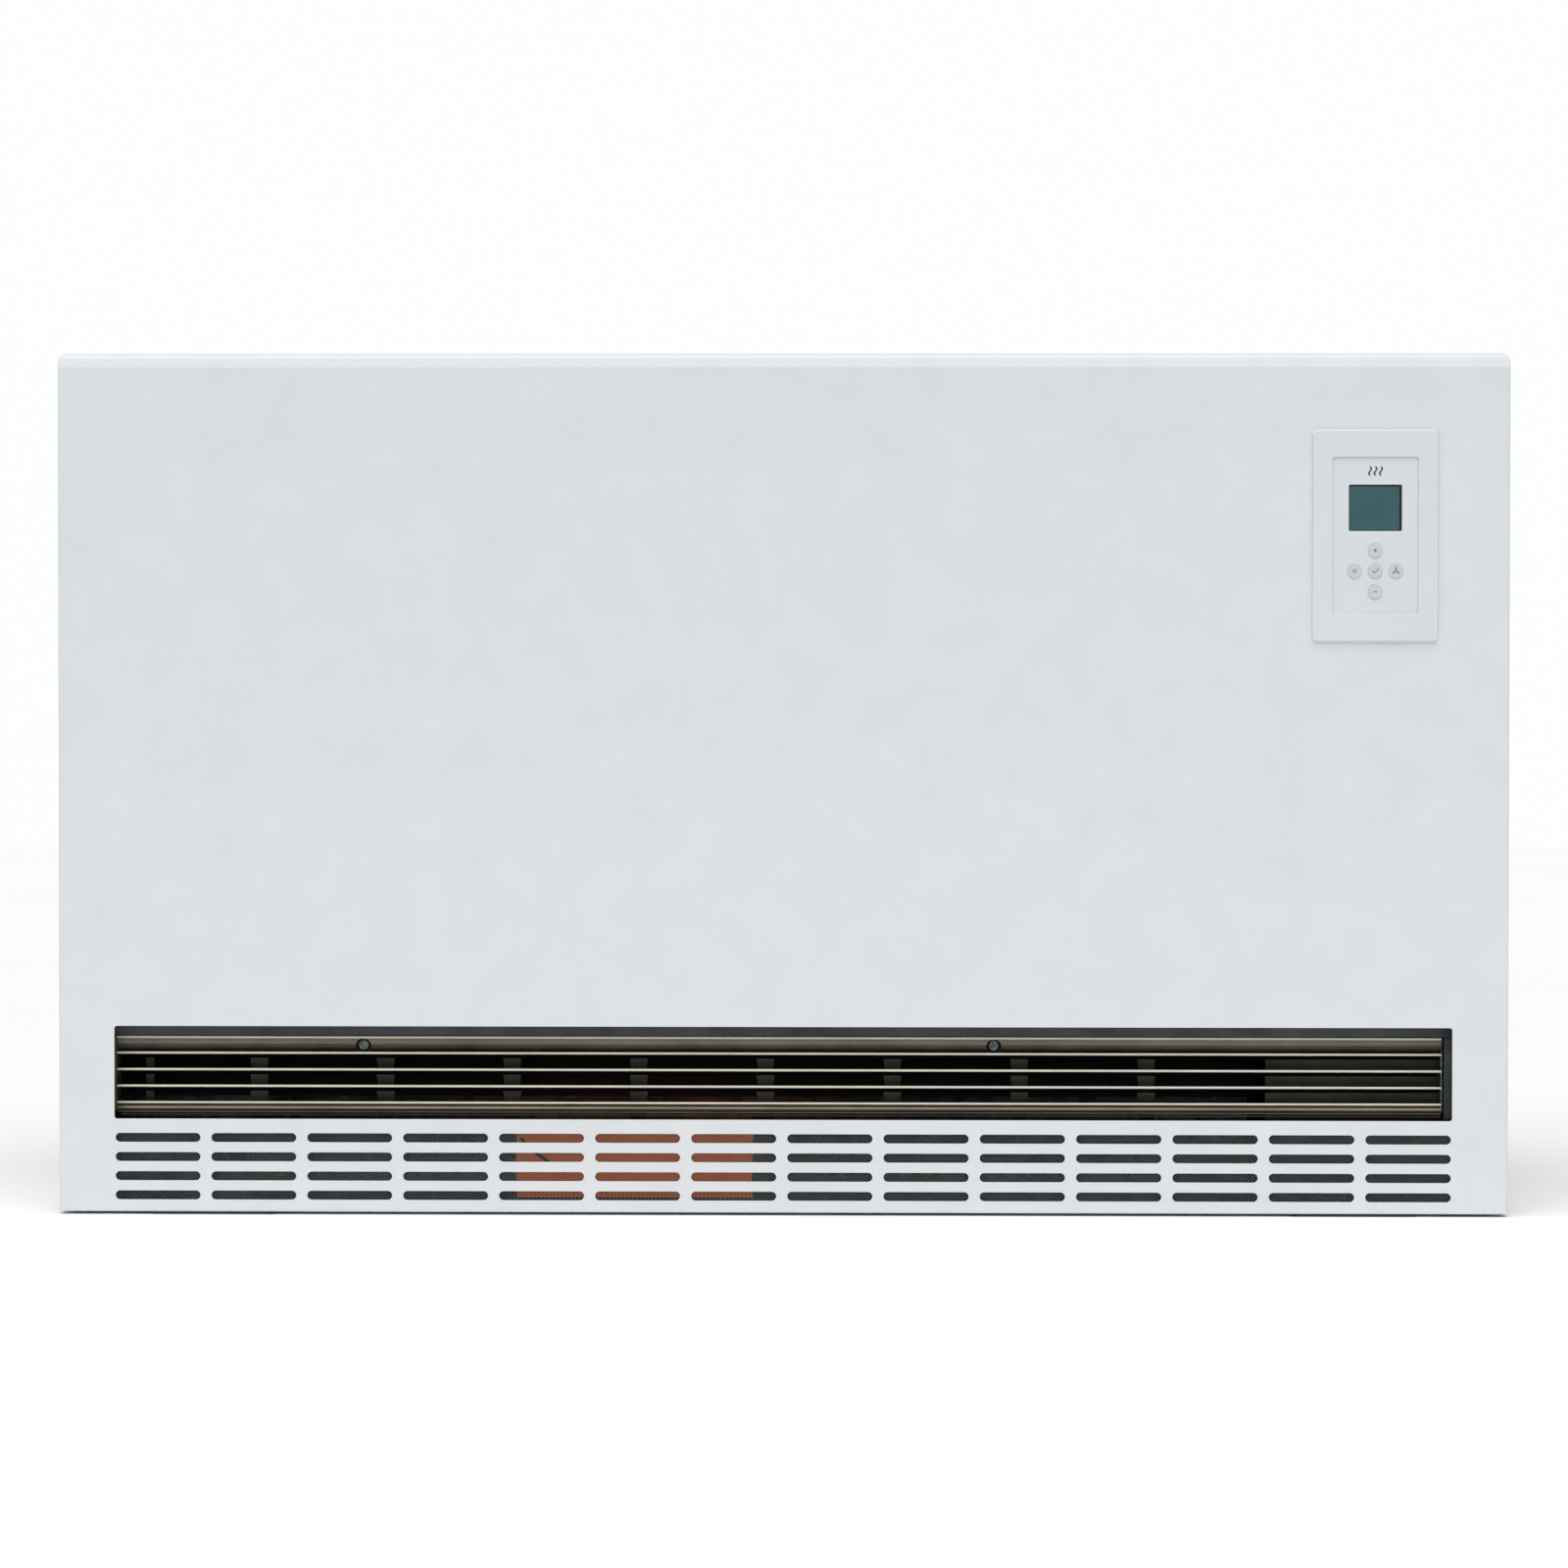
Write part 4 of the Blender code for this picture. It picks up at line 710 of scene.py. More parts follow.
def add_group(tree, name, **inputs):
    """Places a shader group in a material. An underscore in a socket's name stands for a space."""
    made = tree.nodes.new("ShaderNodeGroup")
    made.node_tree = bpy.data.node_groups.get(name) or GROUPS[name](name)
    for key, value in inputs.items():
        feed(tree, made.inputs[key.replace("_", " ")], value)
    return made.outputs


def add_bump(tree, shader, height, strength, distance):
    """Feeds a height to the shader's normal."""
    bump = add_node(tree, "Bump", {"Height": height, "Strength": strength, "Distance": distance})
    feed(tree, shader.inputs["Normal"], bump.outputs["Normal"])


def film_material(
    name, base, shade, cloud=8.0, grain=900.0, bump=0.2, depth=0.0001, roughness=0.4, spread=0.1,
    metallic=0.0, coat=0.0, specular=0.5, stretch=(1, 1, 1), dust=0.0, painted_glow=0.0,
):
    """Paint, plastic or metal with a fine grain, soft clouding and, where it lies inside, some dust."""
    made, tree, shader, place = new_material(name, metallic, coat, specular, stretch)
    film = add_group(
        tree, "Surface Film", Vector=place, Base=opaque(base), Shade=opaque(shade), Cloud_Scale=cloud,
        Grain_Scale=grain, Roughness=roughness, Roughness_Spread=spread,
    )
    height = film["Height"]
    if dust:
        film = add_group(
            tree, "Settled Dust", Vector=place, Color=film["Color"], Roughness=film["Roughness"],
            Dust=opaque(tint(*DUST_ON_PAINT)), Amount=dust,
        )
    feed(tree, shader.inputs["Base Color"], film["Color"])
    feed(tree, shader.inputs["Roughness"], film["Roughness"])
    add_bump(tree, shader, height, bump, depth)
    if coat:
        shader.inputs["Coat Roughness"].default_value = COAT_ROUGHNESS
    # Painted light: the finish also glows in its own colour, though the piece is no lamp.
    if painted_glow:
        shader.inputs["Emission Color"].default_value = opaque(base)
        shader.inputs["Emission Strength"].default_value = painted_glow
    return made


def zinc_material(name, base, shade, roughness=0.38, dust=0.25, metallic=0.85):
    """Galvanised sheet with its crystal pattern and a little dust."""
    made, tree, shader, place = new_material(name, metallic)
    zinc = add_group(
        tree, "Zinc Spangle", Vector=place, Base=opaque(base), Shade=opaque(shade), Scale=ZINC_SCALE,
        Roughness=roughness,
    )
    dusty = add_group(
        tree, "Settled Dust", Vector=place, Color=zinc["Color"], Roughness=zinc["Roughness"],
        Dust=opaque(tint(*DUST_ON_ZINC)), Amount=dust,
    )
    feed(tree, shader.inputs["Base Color"], dusty["Color"])
    feed(tree, shader.inputs["Roughness"], dusty["Roughness"])
    add_bump(tree, shader, zinc["Height"], ZINC_BUMP, ZINC_DEPTH)
    return made


def fired_material(name, base, fleck, scale, amount, roughness, depth):
    """Brick, fibre board or ceramic."""
    made, tree, shader, place = new_material(name)
    fired = add_group(
        tree, "Fired Fleck", Vector=place, Base=opaque(base), Fleck=opaque(fleck), Scale=scale, Amount=amount,
    )
    feed(tree, shader.inputs["Base Color"], fired["Color"])
    shader.inputs["Roughness"].default_value = roughness
    add_bump(tree, shader, fired["Height"], FIRED_BUMP, depth)
    return made


def shared_colour(name, factor):
    """A colour that the user can set, and its shade."""
    base = getattr(bpy.context.scene.heater_colours, name)
    return base, deeper(base, factor)


OWN_COLOUR_FINISHES = {
    "casing": ("casing powder coat", "casing", 0.955, dict(
        cloud=24.0, grain=520.0, bump=0.4, depth=0.00012, roughness=0.46, spread=0.12, specular=0.4,
    )),
    "control": ("control plastic", "control", 0.975, dict(
        cloud=20.0, grain=1500.0, bump=0.18, depth=0.00006, roughness=0.42, spread=0.08,
    )),
    "key": ("key plastic", "key", 0.96, dict(
        cloud=45.0, grain=1800.0, bump=0.12, depth=0.00004, roughness=0.38, spread=0.08,
    )),
    "ink": ("printed ink", "ink", 0.9, dict(
        cloud=200.0, grain=3000.0, bump=0.1, depth=0.00003, roughness=0.5,
    )),
    "bronze": ("bronze grille paint", "bronze", 0.72, dict(
        cloud=18.0, grain=1200.0, bump=0.15, depth=0.00006, roughness=0.36, spread=0.12, metallic=0.55,
        dust=0.12,
    )),
    # Painted highlight: a pale cream for light on the louvre lips, on the band's top round and on its bead.
    "lip": ("louvre lip paint", "lip", 0.9, dict(
        cloud=40.0, grain=1600.0, bump=0.1, depth=0.00004, roughness=0.34, spread=0.1, metallic=0.1,
    )),
    "wire": ("filter wire", "filter", 0.6, dict(
        cloud=60.0, grain=900.0, bump=0.1, depth=0.00004, roughness=0.42, metallic=0.3, dust=0.2,
    )),
    "motor": ("motor cover glaze", "motor", 0.62, dict(
        cloud=26.0, grain=700.0, bump=0.12, depth=0.00006, roughness=0.34, spread=0.14, metallic=0.1,
        painted_glow=MOTOR_PAINTED_GLOW,
    )),
    "display": ("display glass", "display", 0.86, dict(
        cloud=35.0, grain=2600.0, bump=0.05, depth=0.00002, roughness=0.3, spread=0.05, coat=0.15,
        specular=0.3,
    )),
}

FIXED_FINISHES = {
    "mark": (film_material, "dark printed ink", (62, 70, 76), (50, 57, 62), dict(
        cloud=200.0, grain=3000.0, roughness=0.5,
    )),
    # Partly the module's own black edge and partly painted shade of the display's recess.
    "display edge": (film_material, "display edge", (24, 32, 34), (14, 20, 22), dict(
        cloud=60.0, grain=2000.0, roughness=0.35,
    )),
    # Painted shade: a dark slate tone that stands for sheet steel in shadow inside the outlet and behind the
    # inlet.
    "slate": (film_material, "slate paint", (46, 56, 62), (36, 45, 50), dict(
        cloud=12.0, grain=1100.0, roughness=0.55, dust=0.2,
    )),
    "comb": (film_material, "comb paint", (98, 96, 82), (74, 72, 60), dict(
        cloud=25.0, grain=1300.0, roughness=0.5, dust=0.15,
    )),
    # Painted shade: near-black for the wells behind the band's screw holes, standing for the holes' shadow.
    "well": (film_material, "screw well paint", (24, 24, 21), (16, 16, 14), dict(
        cloud=80.0, grain=2000.0, roughness=0.6,
    )),
    # Painted shade: a darker copy of the grille bronze, for the lower part of the band where shade falls.
    "shaded bronze": (film_material, "shaded bronze paint", (62, 57, 48), (42, 39, 33), dict(
        cloud=18.0, grain=1200.0, bump=0.15, depth=0.00006, roughness=0.42, spread=0.12, metallic=0.4,
        dust=0.12,
    )),
    "screw": (film_material, "blackened screw", (128, 138, 138), (58, 66, 66), dict(
        cloud=420.0, grain=1600.0, bump=0.15, roughness=0.3, metallic=0.6,
    )),
    # Painted shade: a near-black that stands for inner sheet in deep shade, on the core chassis and the
    # louvre undersides.
    "dark void": (film_material, "unlit inner paint", (15, 16, 16), (9, 10, 10), dict(
        cloud=30.0, grain=1500.0, roughness=0.9, specular=0.1,
    )),
    "bright steel": (film_material, "bright steel", (206, 208, 208), (150, 152, 154), dict(
        cloud=70.0, grain=900.0, bump=0.12, depth=0.00003, roughness=0.26, spread=0.16, metallic=1.0,
        stretch=(1, 6, 1),
    )),
    "aluminium": (film_material, "fan aluminium", (160, 163, 166), (112, 116, 120), dict(
        cloud=40.0, grain=1400.0, bump=0.1, depth=0.00004, roughness=0.4, spread=0.18, metallic=0.9,
        stretch=(1, 8, 8), dust=0.35,
    )),
    # Painted shade: the flap's steel is near-black so the duct behind the louvres reads as in shadow.
    "flap": (film_material, "flap steel", (18, 19, 19), (13, 14, 14), dict(
        cloud=22.0, grain=1000.0, roughness=0.7, metallic=0.3,
    )),
    "element": (film_material, "element steel", (112, 100, 92), (70, 66, 70), dict(
        cloud=45.0, grain=900.0, roughness=0.42, metallic=0.9, spread=0.2,
    )),
    "black plastic": (film_material, "black plastic", (36, 37, 39), (26, 27, 28), dict(
        cloud=60.0, grain=1700.0, bump=0.25, depth=0.00008, roughness=0.48, spread=0.1,
    )),
    "cable": (film_material, "cable jacket", (30, 31, 33), (20, 21, 22), dict(
        cloud=90.0, grain=1500.0, roughness=0.55,
    )),
    "floor": (film_material, "studio floor paint", (252, 252, 252), (250, 250, 250), dict(
        cloud=1.2, grain=300.0, bump=0.05, roughness=0.75, specular=0.15,
    )),
    "zinc": (zinc_material, "galvanised steel", (176, 180, 182), (128, 133, 137), dict()),
    # Painted shade: a darker copy of the galvanised steel, for the fan guard and motor body where shade
    # falls.
    "dark zinc": (zinc_material, "shaded galvanised steel", (78, 84, 87), (52, 57, 60), dict(
        metallic=0.4, dust=0.15, roughness=0.5,
    )),
    "brick": (fired_material, "storage brick", (96, 62, 46), (52, 36, 30), dict(
        scale=420.0, amount=0.9, roughness=0.9, depth=0.0006,
    )),
    "insulation": (fired_material, "insulation board", (214, 206, 190), (168, 158, 142), dict(
        scale=180.0, amount=0.6, roughness=0.95, depth=0.0008,
    )),
    "ceramic": (fired_material, "ceramic body", (226, 222, 212), (198, 190, 176), dict(
        scale=300.0, amount=0.3, roughness=0.32, depth=0.0001,
    )),
    "circuit board": (fired_material, "circuit board", (28, 92, 58), (18, 62, 40), dict(
        scale=600.0, amount=0.5, roughness=0.35, depth=0.00005,
    )),
}


def finish(key):
    """The material of a finish, made on first use."""
    label = "finish " + key
    for material in bpy.data.materials:
        if material.get("finish_label") == label:
            return material
    if key in OWN_COLOUR_FINISHES:
        name, colour_name, factor, settings = OWN_COLOUR_FINISHES[key]
        material = film_material(name, *shared_colour(colour_name, factor), **settings)
    else:
        maker, name, base, shade, settings = FIXED_FINISHES[key]
        material = maker(name, tint(*base), tint(*shade), **settings)
    material["finish_label"] = label
    return material


def dress(nodes, key):
    """Gives framework parts that stay in view a finish."""
    for name in nodes:
        part = frame["nodes"][name]
        part.data.materials.clear()
        part.data.materials.append(finish(key))


# ---------------------------------------------------------------- casing


def slot_cutters(depth):
    """Every inlet slot as one cutter: a rounded bar repeated along the row and up the rows."""
    sizes = bpy.context.scene.heater_sizes
    half = Vector((sizes.slot_length / 2, 0, sizes.slot_height / 2))
    first = Vector((-(sizes.slot_columns - 1) / 2 * sizes.slot_pitch, 0, sizes.slot_first_row))
    almost_round = 0.999
    cutter = tile("slot_cutter", first, half, depth, sizes.slot_height / 2 * almost_round, 8)
    weld(cutter, 4 * TINY)
    repeat(cutter, (sizes.slot_pitch, 0, 0), sizes.slot_columns)
    repeat(cutter, (0, 0, sizes.slot_row_pitch), sizes.slot_rows)
    return cutter


def front_casing():
    """The folded front sheet with its inlet slots, warm-air outlet and the hole for the controls."""
    sizes = bpy.context.scene.heater_sizes
    low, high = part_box("front_panel")
    panel = block("casing_front", low, high)
    folds = lambda edge: near(middle(edge).y, low.y) and not near(middle(edge).z, high.z)
    round_edges(panel, folds, sizes.fold_radius)
    drop_faces(panel, lambda face: face.normal.y > SQUARE_ON or face.normal.z > SQUARE_ON)
    wall(panel, SHEET)
    depth = (low.y - SHEET, low.y + 2 * SHEET)
    half = sizes.outlet_width / 2
    outlet_top = sizes.outlet_bottom + sizes.outlet_height
    combine(panel, rounded_block(
        "outlet_cutter", (-half, depth[0], sizes.outlet_bottom), (half, depth[1], outlet_top), "y",
        sizes.outlet_corner,
    ))
    combine(panel, slot_cutters(depth))
    bezel_low, bezel_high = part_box("control_bezel")
    inset = BEZEL_OVERLAP - GAP
    combine(panel, block(
        "control_cutter", (bezel_low.x + inset, depth[0], bezel_low.z + inset),
        (bezel_high.x - inset, depth[1], bezel_high.z - inset),
    ))
    cut_edges = lambda edge: is_sharp(edge) and not near(middle(edge).z, high.z)
    round_edges(panel, cut_edges, sizes.edge_break, 2)
    deliver(panel, finish("casing"), stands_for=["front_panel"])


def lid_form(name, low, high, inset):
    """The solid where a leaning front, rounded ends and rounded corners meet, set in all round."""
    sizes = bpy.context.scene.heater_sizes
    lower = Vector((low.x + inset, low.y + inset, low.z - inset))
    upper = Vector((high.x - inset, high.y - inset, high.z - inset))
    form = block(name, lower, upper)
    with editing(form, "EDGE", edge_at("x", y=lower.y, z=upper.z)):
        bpy.ops.transform.translate(value=(0, sizes.lid_front_slope, 0))
    front_top = edge_at("x", y=lower.y + sizes.lid_front_slope, z=upper.z)
    round_edges(form, front_top, sizes.lid_front_round - inset, 14)
    round_edges(form, edge_at("x", y=upper.y, z=upper.z), sizes.lid_back_round - inset, 5)
    reach = Vector((0, SHEET, 0))
    ends = block(name + "_ends", lower - reach, upper + reach)
    round_edges(ends, edge_at("y", z=upper.z), sizes.lid_side_round - inset, 12)
    combine(form, ends, "INTERSECT")
    spare = Vector((0, 0, SHEET))
    corners = block(name + "_corners", lower - spare, upper + spare + reach)
    round_edges(corners, edge_at("z", y=lower.y), sizes.fold_radius - inset)
    combine(form, corners, "INTERSECT")
    return form


def lid():
    """The top sheet, with a large round along its front."""
    low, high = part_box("top_cover")
    low.z -= GAP
    cover = lid_form("casing_lid", low, high, 0.0)
    combine(cover, lid_form("lid_hollow", low, high, SHEET))
    soften(cover, LID_EDGE_ROUND, angle=60)
    deliver(cover, finish("casing"), stands_for=["top_cover"], angle=30)


def side_sheets():
    """The two end panels of the casing."""
    for side in ("left", "right"):
        carried("side_panel_" + side, "casing_side_" + side, "casing")


# ---------------------------------------------------------------- back and base


def pan_screw(name, centre, way, radius, height):
    """A pan-head screw: a rounded head with a cross recess, facing along the Y axis."""
    centre = Vector(centre)
    head = rod(name, centre, centre + Vector((0, way, 0)) * height, radius, 32)
    outer = centre.y + way * height
    dome = height * 0.6
    round_edges(head, rim_at(outer), dome, 5)
    bar = radius * 0.2
    reach = radius * 0.7
    sink = height * 0.7
    depth = sorted((outer - way * sink, outer + way * height))
    for half in ((reach, bar), (bar, reach)):
        combine(head, tile(name + "_recess", centre, Vector((half[0], 0, half[1])), depth))
    return head


def back_sheet():
    """The rear sheet with its pressed ribs and its fixing screws."""
    carried("back_panel", "casing_back", "zinc")
    low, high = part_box("back_panel")
    face = low.y + SHEET
    bracket_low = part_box("wall_bracket")[0]
    rib_half = 0.010
    rib_height = 0.0032
    rib_round = 0.0022
    rib_bottom = low.z + 0.130
    rib_top = bracket_low.z - 0.040
    for index, x in enumerate((-0.42, -0.21, 0.0, 0.21)):
        rib = rounded_block(
            "back_rib_{}".format(index + 1), (x - rib_half, face + UNDERSIDE, rib_bottom),
            (x + rib_half, face + rib_height, rib_top), "y", rib_half - UNDERSIDE, 8,
        )
        round_edges(rib, rim_at(face + rib_height), rib_round, 4)
        deliver(rib, finish("zinc"))
    inset = 0.034
    top_inset = 0.026
    head_radius = 0.0042
    head_height = 0.0024
    columns = [low.x + inset + (high.x - low.x - 2 * inset) * step / 5 for step in range(6)]
    rows = (low.z + inset, high.z - top_inset)
    for index, (x, z) in enumerate((x, z) for z in rows for x in columns):
        name = "back_screw_{}".format(index + 1)
        screw = pan_screw(name, (x, face + UNDERSIDE, z), 1, head_radius, head_height)
        deliver(screw, finish("bright steel"))


def base_and_feet():
    """The base tray and the two feet."""
    carried("base_tray", "casing_base", "zinc")
    for side in ("left", "right"):
        carried("foot_" + side, "foot_rail_" + side, "black plastic")


def wall_rail():
    """The rail that hangs the heater on a wall."""
    carried("wall_bracket", "wall_rail", "zinc")


def gland():
    """The cable gland in the back sheet."""
    carried("cable_gland", "rear_gland", "black plastic", HOUSING_EDGE_ROUND, 45)


# ---------------------------------------------------------------- inlet filter


def filter_wires(name, ends, bottom, top, y, lean):
    """One layer of slanting wires, cut square at both ends of the filter."""
    sizes = bpy.context.scene.heater_sizes
    start_x = ends[0] - (top - bottom)
    foot_x, top_x = (start_x, ends[0]) if lean > 0 else (ends[0], start_x)
    layer = rod(name, (foot_x, y, bottom), (top_x, y, top), sizes.wire_radius, 5)
    repeat(layer, (sizes.wire_pitch, 0, 0), int((ends[1] - start_x) / sizes.wire_pitch) + 1)
    for x, way in ((ends[0], -1), (ends[1], 1)):
        with editing(layer):
            bpy.ops.mesh.bisect(
                plane_co=(x, 0, 0), plane_no=(way, 0, 0), use_fill=True, clear_outer=True
            )
    return layer


def inlet_filter():
    """The filter behind the inlet slots: a thin frame and two crossed layers of wire."""
    sizes = bpy.context.scene.heater_sizes
    low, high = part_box("inlet_filter")
    rail = Vector((sizes.filter_rail, 0, sizes.filter_rail))
    through = Vector((0, SHEET, 0))
    rim = block("filter_frame", low, high)
    combine(rim, block("filter_window", low + rail - through, high - rail + through))
    soften(rim, FINE_EDGE_ROUND)
    deliver(rim, finish("wire"), stands_for=["inlet_filter"])
    ends = (low.x + SHEET, high.x - SHEET)
    first = low.y + sizes.wire_radius + 2 * GAP
    second = first + 2 * sizes.wire_radius
    for name, y, lean in (("filter_wire_front", first, 1), ("filter_wire_back", second, -1)):
        layer = filter_wires(name, ends, low.z + SHEET, high.z - SHEET, y, lean)
        deliver(layer, finish("wire"), angle=80)


# ---------------------------------------------------------------- outlet grille


def band_profile(high, face):
    """The top band's outline: level, round its top edge, then down and back in a crown."""
    top = high.z - GRILLE_SHEET / 2
    profile = [(high.y, top)]
    turns = 4
    for step in range(turns + 1):
        turn = math.radians(90 * step / turns)
        profile.append(
            (face + BAND_ROUND * (1 - math.sin(turn)), top - BAND_ROUND * (1 - math.cos(turn)))
        )
    crown = top - BAND_ROUND - (high.z - BAND_HEIGHT) - GRILLE_SHEET / 2
    drops = 7
    for step in range(1, drops + 1):
        share = step / drops
        profile.append((face + BAND_CROWN * share ** 2, top - BAND_ROUND - crown * share))
    return profile


def grille_band(low, high, ends, face):
    """The crowned top band, with a hole for each screw and a bead along its top in the painted highlight
    colour; its top round carries a painted highlight and its lower part painted shade.
    """
    band = folded_strip("grille_band", ends, band_profile(high, face), GRILLE_SHEET)
    hole_radius = 0.00495
    hole_stretch = 1.18
    hole_back = low.y + 0.008
    for node in ("grille_screw_left", "grille_screw_right"):
        x, y, z = centre_of(node)
        hole = rod("band_hole", (x, low.y - SHEET, z), (x, hole_back, z), hole_radius, 32)
        with editing(hole):
            bpy.ops.transform.resize(value=(hole_stretch, 1, 1), center_override=(x, y, z))
        combine(band, hole)
    soften(band, FINE_EDGE_ROUND, angle=60)
    deliver(band, finish("bronze"), stands_for=["grille_frame"])
    # Painted highlight on the faces of the top round, and painted shade (a darker copy of the bronze) on the
    # lower part of the band.
    painted_highlight_from = high.z - GRILLE_SHEET / 2 - BAND_ROUND * 0.9
    painted_shade_to = high.z - 0.0062
    paint_faces(band, finish("lip"), lambda face: in_band(face, low.y, above=painted_highlight_from))
    paint_faces(band, finish("shaded bronze"), lambda face: in_band(face, low.y, below=painted_shade_to))
    # The bead is a thin rod that carries a painted highlight along the band's top edge.
    bead_y = low.y + BEAD_RADIUS
    bead_z = high.z - BEAD_RADIUS
    bead = rod("grille_bead", (ends[0], bead_y, bead_z), (ends[1], bead_y, bead_z), BEAD_RADIUS, 16)
    deliver(bead, finish("lip"), angle=50)


def grille_frame():
    """The grille's frame: a crowned top band, a beaded sill and a plate at each end."""
    low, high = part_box("grille_frame")
    ends = (low.x + GRILLE_SHEET, high.x - GRILLE_SHEET)
    face = low.y + GRILLE_SHEET / 2
    grille_band(low, high, ends, face)
    sill_profile = [(high.y, low.z + GRILLE_SHEET / 2)]
    sill_profile += [(face + back, low.z + rise) for back, rise in SILL_FOLDS]
    sill = folded_strip("grille_sill", ends, sill_profile, GRILLE_SHEET)
    deliver(sill, finish("bronze"))
    plates = (("left", low.x, low.y, "bronze"), ("right", ends[1], low.y + END_PLATE_INSET, "aluminium"))
    for side, x, front, key in plates:
        back_corner = (x + GRILLE_SHEET - GAP, high.y, high.z)
        plate = block("grille_end_" + side, (x, front, low.z), back_corner)
        round_edges(plate, edge_at("x", y=front), END_PLATE_ROUND, 5)
        soften(plate, FINE_EDGE_ROUND)
        deliver(plate, finish(key))


def in_band(face, face_y, above=-1.0, below=1.0):
    """Whether a face lies on the front of the band between two heights."""
    centre = face.calc_center_median()
    turned_front = face.normal.y < -0.05
    band_depth = 0.006
    return turned_front and centre.y < face_y + band_depth and above < centre.z < below


def outlet_hood():
    """Sheets that close the gap between the grille and the edges of the outlet, in a dark slate tone that is
    painted shade.
    """
    sizes = bpy.context.scene.heater_sizes
    low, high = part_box("grille_frame")
    half = sizes.outlet_width / 2 + HOOD_LAP
    top = sizes.outlet_bottom + sizes.outlet_height + HOOD_LAP
    front = low.y + HOOD_SHEET
    hood_profile = [(high.y, top), (front, top), (front, high.z + HOOD_SHEET)]
    hood = folded_strip("outlet_hood", (-half, half), hood_profile, HOOD_SHEET, fold=0.001, segments=3)
    deliver(hood, finish("slate"))
    cheeks = (("left", -half, low.x - 2 * GAP), ("right", high.x + 2 * GAP, half))
    for side, start_x, end_x in cheeks:
        low_corner = (start_x, front, sizes.outlet_bottom + GAP)
        cheek = block("outlet_cheek_" + side, low_corner, (end_x, front + SHEET, high.z))
        soften(cheek, FINE_EDGE_ROUND)
        deliver(cheek, finish("slate"))
    rail_radius = 0.00045
    rail_inset = 0.002
    rail_ends = (low.x + rail_inset, high.x - rail_inset)
    rails = ((front + 0.0004, low.z + 0.0008), (front + 0.0030, low.z - 0.0016))
    for index, (y, z) in enumerate(rails):
        name = "sill_rail_{}".format(index + 1)
        rail = rod(name, (rail_ends[0], y, z), (rail_ends[1], y, z), rail_radius, 12)
        soften(rail, FINE_EDGE_ROUND, angle=60)
        deliver(rail, finish("comb"))


def louvres():
    """Four blades that slope down to the back, each with a rounded lip along its front in the painted
    highlight colour and its underside behind the lip in near-black painted shade.
    """
    sizes = bpy.context.scene.heater_sizes
    lip_depth = 0.0024
    neck_depth = 0.0008
    neck_drop = 0.0002
    half = sizes.louvre_lip / 2
    for index in range(1, 5):
        node = "louvre_{}".format(index)
        low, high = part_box(node)
        lip_z = high.z - 0.001
        drop = lip_z - low.z - 0.0005
        lip_back = low.y + lip_depth
        lip_low = (low.x, low.y, lip_z - half)
        blade = block("blade_{}".format(index), lip_low, (high.x, lip_back, lip_z + half))
        round_edges(blade, edge_at("x", y=low.y), half * 0.92, 4)
        to_back = (0, high.y - lip_back - neck_depth, neck_drop - drop)
        with editing(blade, "FACE", facing(y=1)):
            bpy.ops.mesh.extrude_region_move(
                TRANSFORM_OT_translate={"value": (0, neck_depth, -neck_drop)}
            )
            bpy.ops.transform.resize(
                value=(1, 1, 0.5), center_override=(0, lip_back, lip_z - neck_drop)
            )
            bpy.ops.mesh.extrude_region_move(TRANSFORM_OT_translate={"value": to_back})
        deliver(blade, finish("bronze"), stands_for=[node])
        # Painted highlight on the lip's faces, and painted shade (near-black) on the undersides behind the
        # lip.
        lip_highlight_faces = lambda face: face.calc_center_median().y < lip_back - TINY
        painted_shade_undersides = lambda face: face.normal.z < -0.5 and face.calc_center_median().y > lip_back
        paint_faces(blade, finish("lip"), lip_highlight_faces)
        paint_faces(blade, finish("dark void"), painted_shade_undersides)


def comb():
    """The plate behind the louvres: flared uprights between two rails, and a blank end."""
    sizes = bpy.context.scene.heater_sizes
    low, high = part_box("grille_back_frame")
    first_low, first_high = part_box("louvre_1")
    pitch = first_high.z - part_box("louvre_2")[1].z
    top = first_low.z
    levels = 4
    bottom = top - levels * pitch
    left = low.x + sizes.comb_first
    blank_width = 0.1366
    blank = high.x - blank_width
    count = int((blank - left) / sizes.comb_pitch) + 1
    half = sizes.upright_top / 2
    waist = sizes.upright_bottom / sizes.upright_top
    tab = block("comb_upright", (left - half, low.y, top - pitch), (left + half, high.y, top))
    with editing(tab, "FACE", facing(z=-1)):
        bpy.ops.transform.resize(value=(waist, 1, 1), center_override=(left, low.y, top - pitch))
    repeat(tab, (0, 0, -pitch), levels)
    end_shift = -0.0865
    end_width = 0.46
    end_tab = copy_of(tab, "comb_end_upright", (end_shift, 0, 0))
    with editing(end_tab):
        bpy.ops.transform.resize(value=(end_width, 1, 1), center_override=(left + end_shift, 0, 0))
    repeat(tab, (sizes.comb_pitch, 0, 0), count)
    top_rail = block("comb_top_rail", (low.x, low.y, top), (high.x, high.y, high.z))
    low_rail = block("comb_low_rail", (low.x, low.y, low.z), (high.x, high.y, bottom))
    blank_end = block("comb_blank", (blank, low.y, bottom), (high.x, high.y, top))
    plate = joined("grille_comb", [tab, end_tab, top_rail, low_rail, blank_end])
    weld(plate)
    deliver(plate, finish("comb"), stands_for=["grille_back_frame"])


